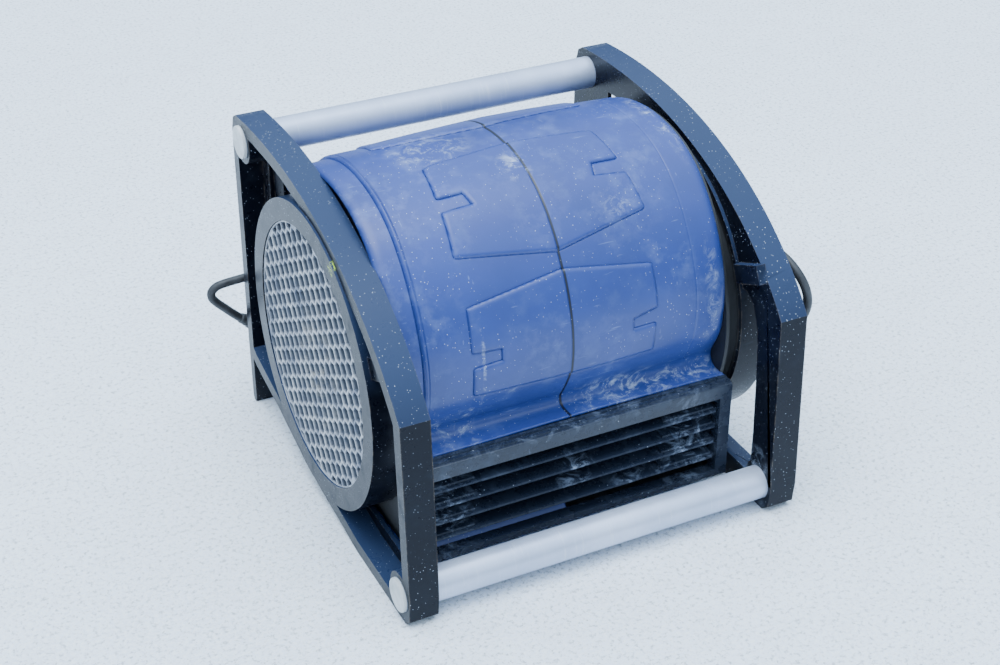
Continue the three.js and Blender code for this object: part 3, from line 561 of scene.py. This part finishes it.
s = Surface("nylon")
s.set(Base_Color=s.mix(s.noise(60, 4), (0.52, 0.5, 0.44), (0.64, 0.62, 0.56)), Roughness=0.5)
s.bump(s.noise(700, 3), 0.08, 0.0003)
nylon = s.material

s = Surface("brass")
s.set(Base_Color=s.mix(s.noise(200, 4), (0.5, 0.38, 0.15), (0.68, 0.55, 0.28)), Metallic=1.0,
      Roughness=s.fit(s.noise(300, 3), 0.3, 0.7, 0.22, 0.4))
brass = s.material

s = Surface("reset_red")
s.set(Base_Color=s.mix(s.noise(120, 4), (0.32, 0.015, 0.012), (0.46, 0.03, 0.02)), Roughness=0.35)
s.bump(s.noise(900, 2), 0.05, 0.0003)
red = s.material


def finish_node(node, material, bevel):
    """Gives a CAD node its material, and rounded edges if a width is given."""
    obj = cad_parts[node]
    if not obj.material_slots:
        obj.data.materials.append(material)
    for slot in obj.material_slots:
        slot.material = material
    if bevel:
        mod = obj.modifiers.new("edges", "BEVEL")
        mod.width = bevel * MM
        mod.segments = 2
        mod.limit_method = "ANGLE"
        mod.angle_limit = math.radians(40)


for material, bevel, nodes in (
        (nylon, 0.0, ("speed_switch",)),
        (steel, 0.0, ("motor", "motor_plate", "run_capacitor", "motor_shaft")),
        (steel, 0.4, [f"panel_screw_{k + 1}" for k in range(4)]),
        (inner_black, 0.0, ("left_glide_ring", "right_glide_ring", "inlet_cone", "blower_wheel",
                            "control_housing")),
        (inner_black, 0.6, ("accessory_outlets",)),
        (inner_black, 0.8, ("speed_knob",)),
        (black, 0.6, ("control_panel",)),
        (black, 0.8, ("cord_wrap_bar",)),
        (red, 0.6, ("reset_button",)),
        (brass, 0.0, ("plug_line_blade", "plug_neutral_blade", "plug_ground_pin"))):
    for node in nodes:
        finish_node(node, material, bevel)


def skin(obj, body, slot_name, material, *nodes):
    """Gives a piece its material and its body, and hides the nodes it stands for. The slot's name is
    not used.
    """
    obj.data.materials.clear()
    obj.data.materials.append(material)
    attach(obj, body)
    if nodes:
        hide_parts(*nodes)
    return obj


# ---------------------------------------------------------------- solid tools
def prism(outline, xa, xb):
    """A depth, height outline drawn out along x."""
    n = len(outline)
    verts = [point(xa, *p) for p in outline] + [point(xb, *p) for p in outline]
    faces = [tuple(range(n)), tuple(range(2 * n - 1, n - 1, -1))]
    faces += [(i, (i + 1) % n, n + (i + 1) % n, n + i) for i in range(n)]
    return tidy_normals(mesh_object("tool", verts, faces, smooth=False))


def turned(profile, centre=PIVOT, sides=128, name="tool"):
    """A closed profile of [x, radius] turned about an axis along x."""
    n = len(profile)
    verts, faces = [], []
    for k in range(sides):
        t = 2 * math.pi * k / sides
        for x, r in profile:
            verts.append(point(x, centre[0] + r * math.cos(t), centre[1] + r * math.sin(t)))
    for k in range(sides):
        m = (k + 1) % sides
        for i in range(n):
            j = (i + 1) % n
            faces.append((k * n + i, k * n + j, m * n + j, m * n + i))
    return tidy_normals(mesh_object(name, verts, faces, smooth=False))


def circle(radius, centre, sides=96):
    return [(centre[0] + radius * math.cos(2 * math.pi * k / sides),
             centre[1] + radius * math.sin(2 * math.pi * k / sides)) for k in range(sides)]


def disc(xa, xb, radius, centre=PIVOT, sides=128):
    return prism(circle(radius, centre, sides), xa, xb)


def carve(obj, steps):
    """Applies boolean steps of [operation, tool] and removes the tools."""
    for operation, tool in steps:
        mod = obj.modifiers.new("cut", "BOOLEAN")
        mod.operation = operation
        mod.object = tool
        mod.solver = "EXACT"
        bpy.context.view_layer.update()
        made = bpy.data.meshes.new_from_object(obj.evaluated_get(bpy.context.evaluated_depsgraph_get()))
        obj.modifiers.clear()
        obj.data = made
        bpy.data.objects.remove(tool)
    return obj


def soften(obj, width, segments=3):
    """Merges flat faces and rounds the sharp edges by a width in mm."""
    bm = bmesh.new()
    bm.from_mesh(obj.data)
    bmesh.ops.remove_doubles(bm, verts=bm.verts, dist=2e-5)
    bmesh.ops.dissolve_limit(bm, angle_limit=math.radians(1), verts=bm.verts, edges=bm.edges)
    bm.to_mesh(obj.data)
    bm.free()
    mod = obj.modifiers.new("edges", "BEVEL")
    mod.width = width * MM
    mod.segments = segments
    mod.limit_method = "ANGLE"
    mod.angle_limit = math.radians(34)
    mod.harden_normals = True
    for poly_face in obj.data.polygons:
        poly_face.use_smooth = True
    return obj


def arc(radius, start, end, steps):
    """An arc about the head's axis; angles are in degrees and grow from the back to the top."""
    return [(PIVOT[0] + radius * math.cos(math.radians(a)),
             PIVOT[1] + radius * math.sin(math.radians(a)))
            for a in np.linspace(start, end, steps + 1)]


def bezier(p0, p1, p2, p3, steps):
    out = []
    for t in np.linspace(0, 1, steps + 1):
        u = 1 - t
        out.append(tuple(u ** 3 * a + 3 * u * u * t * b + 3 * u * t * t * c + t ** 3 * d
                         for a, b, c, d in zip(p0, p1, p2, p3)))
    return out


def inset(outline, distance):
    """An anticlockwise outline moved inwards."""
    n = len(outline)
    out = []
    for i in range(n):
        p, q, r = (Vector(outline[(i + k) % n]) for k in (-1, 0, 1))
        d1, d2 = (q - p).normalized(), (r - q).normalized()
        n1, n2 = Vector((-d1.y, d1.x)), Vector((-d2.y, d2.x))
        m = (n1 + n2).normalized()
        out.append(tuple(q + m * (distance / max(0.4, m.dot(n1)))))
    return out


# ---------------------------------------------------------------- side frames
# Outlines are of [depth, height], anticlockwise seen from the right.
SILL = [(100, -5.5), (137, -0.5), (182, 4.5), (229, 13.5), (284, 29), (340, 42), (354, 50)]
REAR_POST = [(351, 165), (348.5, 262), (347, 276), (343.5, 286)]
FRONT_POST = [(-3, 130), (-6, 70), (-8, 20), (-6, 1)]
BROW = ((336, 290.5), (142.5, 310), (42, 236.5), (0, 181))
FRAME_OUTLINE = ([(2, -FLOOR)] + [tuple(p) for p in spline(SILL, 3).tolist()] + REAR_POST
                 + bezier(*BROW, 40) + FRONT_POST)
POCKET_OUTLINE = ([(2, -FLOOR)] + SILL + REAR_POST[:2] + [(345, 284)] + bezier(*BROW, 14)
                  + FRONT_POST)
POCKET_EDGE = 12
BOSS_R = 19
LEG = [(344, 62), (345.5, -1), (347.5, -FLOOR), (352, -FLOOR), (354, -1), (354, 62)]
STRUT = 155.3  # angle of the strut from the ring to the brow
REAR_WINDOW = [(240, 268), (287, 266)]
BEAD = [(309, 196), (312.5, 196), (312.5, 263), (309, 263)]
WINDOW_EDGE = [(30, 18), (26, 20), (24, 26), (24, 60), (26.5, 110), (29, 145), (31, 156), (34, 166),
               (38.5, 174.5), (43.5, 180.5), (49, 183.6)]
INLET_OPENING, PANEL_OPENING = 112, 118  # radii of the left and right rings' openings


def side_frame(side, open_r, name):
    """One side frame: the outline's plate, hollowed outside into a web with its ring and bosses."""
    def x(value):
        return side * value

    def through(outline):
        return prism(outline, x(FRAME_INNER - 5), x(FRAME_OUTER + 5))

    def within_outline(piece):
        whole = prism(FRAME_OUTLINE, x(FRAME_INNER - 1), x(FRAME_OUTER + 1))
        return carve(piece, [("INTERSECT", whole)])

    body = prism(FRAME_OUTLINE, x(FRAME_INNER), x(FRAME_OUTER))
    pocket = prism(inset(POCKET_OUTLINE, POCKET_EDGE), x(WEB_OUTER), x(FRAME_OUTER + 5))
    ring_room = disc(x(WEB_OUTER - 9), x(FRAME_OUTER + 9), RING_R - 1)
    window_end = 180 + math.degrees(math.asin((PIVOT[1] - 18) / RING_R))
    window = arc(RING_R, STRUT + 6, window_end, 40) + WINDOW_EDGE
    strut = (arc(RING_R - 3, STRUT + 3.8, STRUT - 3.8, 1)
             + arc(RING_R + 42, STRUT - 3, STRUT + 3, 1))
    steps = [
        ("DIFFERENCE", carve(pocket, [("DIFFERENCE", ring_room)])),
        ("DIFFERENCE", through(window)),
        ("DIFFERENCE", through(arc(RING_R + 1, 37, 66, 20) + REAR_WINDOW)),
        ("UNION", within_outline(prism(strut, x(FRAME_INNER), x(FRAME_OUTER - 3)))),
        ("UNION", prism(BEAD, x(FRAME_INNER + 0.01), x(WEB_OUTER + 4))),
        ("UNION", prism(LEG, x(FRAME_INNER), x(FRAME_OUTER - 0.02))),
    ]
    for centre in (TOP_TUBE, BOTTOM_TUBE):
        boss = disc(x(FRAME_INNER), x(FRAME_OUTER - 0.01), BOSS_R, centre, 48)
        steps.append(("UNION", within_outline(boss)))
    if side > 0:
        rib = arc(RING_R + 3, 158.8, 151.8, 1) + arc(RING_R + 38, 152.5, 158, 1)
        steps.append(("UNION", prism(rib, 145.5, FRAME_INNER + 1)))
    steps.append(("UNION", disc(x(150), x(RING_FACE), RING_R)))
    steps.append(("DIFFERENCE", disc(x(145), x(RING_FACE - 3.7), RING_R - RING_WALL)))
    steps.append(("DIFFERENCE", disc(x(150), x(RING_FACE + 5), open_r)))
    for centre in (TOP_TUBE, BOTTOM_TUBE):
        bore = disc(x(FRAME_INNER - 5), x(RING_FACE + 5), TUBE_R + 0.3, centre, 48)
        steps.append(("DIFFERENCE", bore))
    carve(body, steps)
    body.name = name
    soften(body, 1.3)
    skin(body, "frame", "frame_plastic", black, name.replace("_moulding", "_frame"))


side_frame(-1, INLET_OPENING, "left_side_moulding")
side_frame(1, PANEL_OPENING, "right_side_moulding")

# ---------------------------------------------------------------- tubes and caps
CAP_PROFILE = [(166, 0.02), (166, 12.2), (178.3, 12.2), (178.3, 14.2), (180.2, 14.2), (180.9, 14.0),
               (181.35, 13.4), (181.5, 12.6), (181.5, 9), (181.2, 8.6), (181.2, 3), (181.35, 2.6),
               (181.35, 0.02)]
TUBE_INNER_R = 12.7
for word, centre in (("top", TOP_TUBE), ("bottom", BOTTOM_TUBE)):
    wall = [(-FRAME_OUTER, TUBE_INNER_R), (FRAME_OUTER, TUBE_INNER_R), (FRAME_OUTER, TUBE_R),
            (-FRAME_OUTER, TUBE_R)]
    tube = turned(wall, centre, 96, f"{word}_tube")
    smooth_by_angle(tube)
    node = "top_handle_tube" if word == "top" else "bottom_tube"
    skin(tube, "frame", "tube_metal", tube_metal, node)
    for hand, side in (("left", -1), ("right", 1)):
        cap = turned([(side * x, r) for x, r in CAP_PROFILE], centre, 64, f"{word}_{hand}_cap")
        smooth_by_angle(cap)
        skin(cap, "frame", "cap_plastic", cap_plastic, f"{word}_{hand}_tube_cap")

# ---------------------------------------------------------------- honeycomb inlet
CELL_PITCH, CELL_WALL = 14.0, 1.7
GRILLE_R, CELLS_R = 111.7, 110.6
GRILLE_FACE, GRILLE_BACK = -178.8, -169.5


def honeycomb():
    """A disc with hexagonal cells cut through it."""
    verts, faces = [], []
    row = CELL_PITCH * math.sin(math.pi / 3)
    radius = (CELL_PITCH - CELL_WALL) / math.sqrt(3)
    corners = [(radius * math.cos(k * math.pi / 3), radius * math.sin(k * math.pi / 3))
               for k in range(6)]
    for i in range(-10, 11):
        for j in range(-10, 11):
            cy = i * row
            cz = j * CELL_PITCH + (CELL_PITCH / 2 if i % 2 else 0)
            if math.hypot(cy, cz) > CELLS_R + 3.4:
                continue
            base = len(verts)
            for x in (GRILLE_FACE - 3, GRILLE_BACK + 3):
                verts += [point(x, PIVOT[0] + cy + dy, PIVOT[1] + cz + dz) for dy, dz in corners]
            faces += [tuple(base + k for k in range(6)), tuple(base + 11 - k for k in range(6))]
            faces += [(base + k, base + (k + 1) % 6, base + 6 + (k + 1) % 6, base + 6 + k)
                      for k in range(6)]
    cells = tidy_normals(mesh_object("tool", verts, faces, smooth=False))
    carve(cells, [("INTERSECT", disc(GRILLE_FACE - 5, GRILLE_BACK + 5, CELLS_R))])
    body = disc(GRILLE_FACE, GRILLE_BACK, GRILLE_R)
    carve(body, [("DIFFERENCE", cells)])
    body.name = "honeycomb_grille"
    return soften(body, 0.45, 2)


skin(honeycomb(), "frame", "grille_plastic", grille_grey, "left_inlet_grille")
rim = turned([(-169.6, 111.9), (-169.6, 126.4), (-176.1, 126.4), (-176.1, 111.9)],
             name="grille_rim")
smooth_by_angle(rim)
skin(rim, "frame", "grille_plastic", dark_grey)

# ---------------------------------------------------------------- head
# The housing's profile: angle and radius about the axis, then the neck down to the louvre.
SCROLL = [
    (-90, 131), (-75, 131), (-60, 132), (-45, 133), (-30, 134.5), (-15, 136.5), (0, 139),
    (15, 143.5), (30, 149), (45, 154), (60, 157), (75, 158), (90, 158), (105, 157.5),
    (117, 155), (128, 150), (138, 145), (148, 140.5), (158, 136.5), (168, 131.5),
    (176, 126.5), (182, 120.5),
]
NECK = [(65.5, 127.5), (70.5, 118.5), (69.5, 111.5), (64.5, 108), (57, 107.6), (50.6, 108.2)]


def scroll_curve():
    floor_run = [(50.6, 12.4), (80, 11.2), (115, 10.6), (150, 10.4)]
    round_run = [(PIVOT[0] + r * math.cos(math.radians(a)),
                  PIVOT[1] + r * math.sin(math.radians(a))) for a, r in SCROLL]
    return spline(floor_run + round_run + NECK, 16)


def even(points, spacing):
    """The curve's points again, evenly spaced; spacing is a function of the place."""
    run = np.r_[0, np.cumsum(np.linalg.norm(np.diff(points, axis=0), axis=1))]
    out, here = [], 0.0
    while here < run[-1]:
        p = np.array([np.interp(here, run, points[:, i]) for i in range(2)])
        out.append(p)
        here += spacing(p)
    out.append(points[-1])
    return np.array(out)


def to_polygon(px, py, polygon):
    """Signed distance to a polygon, negative inside."""
    best = np.full(px.shape, 1e9)
    inside = np.zeros(px.shape, bool)
    n = len(polygon)
    for i in range(n):
        (ax, ay), (bx, by) = polygon[i], polygon[(i + 1) % n]
        ex, ey = bx - ax, by - ay
        t = np.clip(((px - ax) * ex + (py - ay) * ey) / (ex * ex + ey * ey), 0, 1)
        best = np.minimum(best, np.hypot(px - ax - t * ex, py - ay - t * ey))
        crosses = (ay > py) != (by > py)
        with np.errstate(divide="ignore", invalid="ignore"):
            edge_x = ax + (py - ay) / (by - ay if by != ay else 1e-9) * ex
        inside ^= crosses & (px < edge_x)
    return np.where(inside, -best, best)


SHELL_LEFT, SHELL_RIGHT, SHELL_WALL = -149.4, 136.7, 2.6
HALF_GAP = 0.45  # from the joint's middle to each half
STEP_X, RIGHT_GROOVE_X = -131.2, 108
PANEL_RISE = 1.8
ARC_MM = math.radians(1) * 150  # millimetres of surface for each degree
MID = -9.0
# Raised panels as [x, angle], and the fall of the surface from its crown as [x], [mm].
UPPER_PANEL = [(-84, 97), (-77, 96), (MID, 94), (59, 96), (66, 97), (70, 110), (46, 110), (43, 114.5),
               (71, 115.5), (75, 127.5), (MID, 134), (-92, 129), (-89, 115), (-63, 114.5),
               (-66, 110), (-88, 110)]
LOWER_PANEL = [(-92, 144.5), (MID, 139.5), (69, 144.5), (70, 159), (47, 161), (47, 165), (68, 165),
               (68, 176), (-92, 176), (-92, 165), (-68, 164), (-68, 159.5), (-93, 159)]
REAR_PANEL = [(-104, 76), (MID, 80), (86, 76), (84, 60), (58, 60), (58, 55), (82, 54), (78, 38),
              (MID, 32), (-96, 38), (-100, 54), (-76, 55), (-76, 60), (-102, 60)]
CROWN = ([-150, -144, -130, -92, -65, -28, 9, 47, 85, 114, 128, 137],
         [5.5, 5.2, 4.6, 4.6, 3.4, 2.2, 1.2, 2.0, 3.6, 4.8, 5.4, 6.2])


def ramp(value, start, end):
    return np.clip((value - start) / (end - start), 0, 1)


def quarter_round(share):
    """The fall of a rounded edge, as a share of its depth."""
    return 1 - np.sqrt(np.clip(1 - share ** 2, 0, 1))


def housing_surface(xs, curve_points):
    """Grids of x, depth and height: the profile crowned along x, with its panels and step."""
    tangent = np.gradient(curve_points, axis=0)
    tangent /= np.linalg.norm(tangent, axis=1)[:, None]
    normal = np.c_[tangent[:, 1], -tangent[:, 0]]
    rel = curve_points - np.array(PIVOT)
    angle = np.degrees(np.arctan2(rel[:, 1], rel[:, 0]))
    angle = np.where(angle < -91, angle + 360, angle)
    angle = np.where(angle > 195, 195, angle)
    first = np.arange(len(curve_points)) < np.argmax(curve_points[:, 0] > 175)
    grid_x, grid_a = np.meshgrid(xs, np.where(first, -95, angle))
    weight = np.interp(grid_a, [-95, -80, 172, 184, 195], [0.25, 1, 1, 0.6, 0.35])
    step_weight = np.interp(grid_a, [-95, -80, 168, 186, 195], [0.1, 1, 1, 0.5, 0.2])
    drop = np.interp(grid_x, *CROWN) * weight
    drop = drop + 2.6 * ramp(grid_x, STEP_X + 0.6, STEP_X - 0.6) * step_weight
    drop = drop + 0.9 * np.exp(-((grid_x - STEP_X) / 0.9) ** 2) * weight
    drop = drop + 5.5 * quarter_round(ramp(grid_x, SHELL_RIGHT - 7.2, SHELL_RIGHT)) * weight
    drop = drop + 3.2 * quarter_round(ramp(grid_x, SHELL_LEFT + 4.5, SHELL_LEFT)) * weight
    drop = drop + 0.4 * np.exp(-((grid_x - RIGHT_GROOVE_X) / 0.8) ** 2) * weight
    drop = drop + 1.2 * np.clip(1 - np.abs(grid_x - HEAD_SEAM) / 1.3, 0, 1) ** 1.5
    # The left edge reaches out to just short of the frame, where the frame is beside it.
    beside = np.interp(grid_a, [0, 30, 160, 172], [0, 1, 1, 0])
    lean = ramp(grid_x, SHELL_LEFT + 4, SHELL_LEFT) * beside
    out_x = grid_x - (FRAME_INNER - 0.75 + SHELL_LEFT) * lean
    height = np.zeros(grid_x.shape)
    for polygon in (UPPER_PANEL, LOWER_PANEL, REAR_PANEL):
        flat = [(px, pa * ARC_MM) for px, pa in polygon]
        d = to_polygon(grid_x, grid_a * ARC_MM, flat) + 1.2
        t = np.clip(0.5 - d / 1.6, 0, 1)
        height = np.maximum(height, PANEL_RISE * t * t * (3 - 2 * t))
        drop = drop + 0.45 * np.exp(-((d - 1.3) / 0.7) ** 2)
    depth = curve_points[:, 0][:, None] + normal[:, 0][:, None] * (height - drop)
    z = curve_points[:, 1][:, None] + normal[:, 1][:, None] * (height - drop)
    return out_x, depth, z


def housing_half(name, xa, xb, node):
    """One half of the housing: a fine grid, closer at its grooves, thickened to a shell."""
    curve_points = even(scroll_curve(), lambda p: 1.0 if (p[1] > 100 and p[0] < 250) else 3.0)
    xs = set(np.arange(xa, xb, 1.0)) | {xa, xb}
    for centre in (STEP_X, RIGHT_GROOVE_X, HEAD_SEAM):
        xs |= {v for v in np.arange(centre - 3, centre + 3.01, 0.4) if xa < v < xb}
    gx, gd, gz = housing_surface(np.array(sorted(xs)), curve_points)
    if xa == SHELL_LEFT:
        # The left end is turned in towards the axis, down to just outside the frame's ring.
        across, above = gd[0] - PIVOT[0], gz[0] - PIVOT[1]
        radius = np.hypot(across, above)
        for outwards, turned_in in ((0.25, 3), (0, 9), (0, 16), (0, 24)):
            share = np.maximum(np.minimum(radius, RING_R + 2.5), radius - turned_in) / radius
            gx = np.vstack([gx[0] - outwards, gx])
            gd = np.vstack([PIVOT[0] + across * share, gd])
            gz = np.vstack([PIVOT[1] + above * share, gz])
    rows, cols = gx.shape
    verts = np.c_[gx.ravel() * MM, (gd.ravel() + SHOULDER) * MM, (gz.ravel() + FLOOR) * MM]
    r, c = np.meshgrid(np.arange(rows - 1), np.arange(cols - 1), indexing="ij")
    base = (r * cols + c).ravel()
    faces = np.c_[base, base + 1, base + cols + 1, base + cols]
    mesh = bpy.data.meshes.new(name)
    mesh.from_pydata(verts.tolist(), [], faces.tolist())
    mesh.polygons.foreach_set("use_smooth", [True] * len(mesh.polygons))
    obj = link(bpy.data.objects.new(name, mesh))
    thick = obj.modifiers.new("wall", "SOLIDIFY")
    thick.thickness = SHELL_WALL * MM
    thick.offset = -1
    thick.material_offset = -1
    thick.material_offset_rim = -1
    skin(obj, "head", "housing_plastic", blue, node)
    obj.data.materials.append(inner_black)
    obj.data.polygons.foreach_set("material_index", [1] * len(obj.data.polygons))


housing_half("left_housing", SHELL_LEFT, HEAD_SEAM - HALF_GAP, "left_housing_shell")
housing_half("right_housing", HEAD_SEAM + HALF_GAP, SHELL_RIGHT, "right_housing_shell")


COLLAR_R, COLLAR_BORE = 123.5, 120
PLATE_R = 128.5


def end_plate(name, node, x_out, x_in, collar_end, mouth, trim):
    """The wall inside one end of the housing, with its round collar and its mouth."""
    curve_points = even(scroll_curve(), lambda p: 3.0)
    rel = curve_points - np.array(PIVOT)
    size = np.linalg.norm(rel, axis=1)
    high = (curve_points[:, 1] > 25) & (size < 170)
    shrink = np.where(high, trim, 0.8)
    shaped = curve_points - rel / size[:, None] * shrink[:, None]
    body = prism([tuple(p) for p in shaped], x_out, x_in)
    side = 1 if x_out > 0 else -1
    carve(body, [
        ("UNION", disc(x_out, x_in, PLATE_R)),
        ("UNION", disc(x_in, collar_end, COLLAR_R)),
        ("DIFFERENCE", disc(x_out + side * 0.001, collar_end + side * 4, COLLAR_BORE)),
        ("DIFFERENCE", disc(x_in - side * 9, x_out + side * 3, mouth)),
    ])
    body.name = name
    soften(body, 0.8)
    skin(body, "head", "frame_plastic", inner_black, node)


end_plate("left_end_wall", "left_end_plate", -149.2, -146.6, -157, 103.4, 14.5)
end_plate("right_end_wall", "right_end_plate", 140, 137, 156, 55, 8.0)

# ---------------------------------------------------------------- louvre
LEFT_X, RIGHT_X = -146.0, 138.0
SLATS_END = 124  # beyond it the slats lie deeper
SLAT_HEIGHTS = (35.4, 51, 66.5, 82)
SLAT = [(38.6, -1.8), (39.6, -2.6), (49, -2.4), (58, -0.6), (58, 1.6), (49, 0.4), (40.6, 0),
        (39.2, -0.4)]
BROAD = [(41.5, -1.5), (57, -1.2), (59.5, 4.6), (57, 3.8), (43, 1.5)]
TOP_BAR = [(38, 93), (40.2, 92), (49.8, 92), (50, 107.4), (47, 107.2), (46.6, 106.2),
           (44.6, 106.2), (44.2, 107.1), (41.6, 107), (41.2, 106), (39.6, 105.8), (38.4, 105.2),
           (38, 104)]
BOTTOM_BAR = [(38, 14), (50, 14), (50, 18.4), (43, 18.6), (38, 20)]
SIDE_BAR = [(38, 14), (50, 14), (50, 107.4), (38, 104)]

louvre = prism(TOP_BAR, LEFT_X, RIGHT_X)
louvre.name = "louvre_frame"
bars = [(BOTTOM_BAR, LEFT_X, RIGHT_X), (SIDE_BAR, LEFT_X, LEFT_X + 7),
        (SIDE_BAR, RIGHT_X - 11, RIGHT_X)]
for z in SLAT_HEIGHTS:
    slat = [(d, z + h) for d, h in SLAT]
    broad = [(d, z + h) for d, h in BROAD]
    bars += [(slat, LEFT_X + 4, SLATS_END),
             ([(d + 3.4, h - 0.3) for d, h in slat], SLATS_END - 2, RIGHT_X - 8),
             (broad, LEFT_X + 4.01, -98), (broad, 75, SLATS_END - 0.1)]
carve(louvre, [("UNION", prism(*bar)) for bar in bars])
soften(louvre, 0.5, 2)
skin(louvre, "head", "frame_plastic", louvre_black, "outlet_louvre")
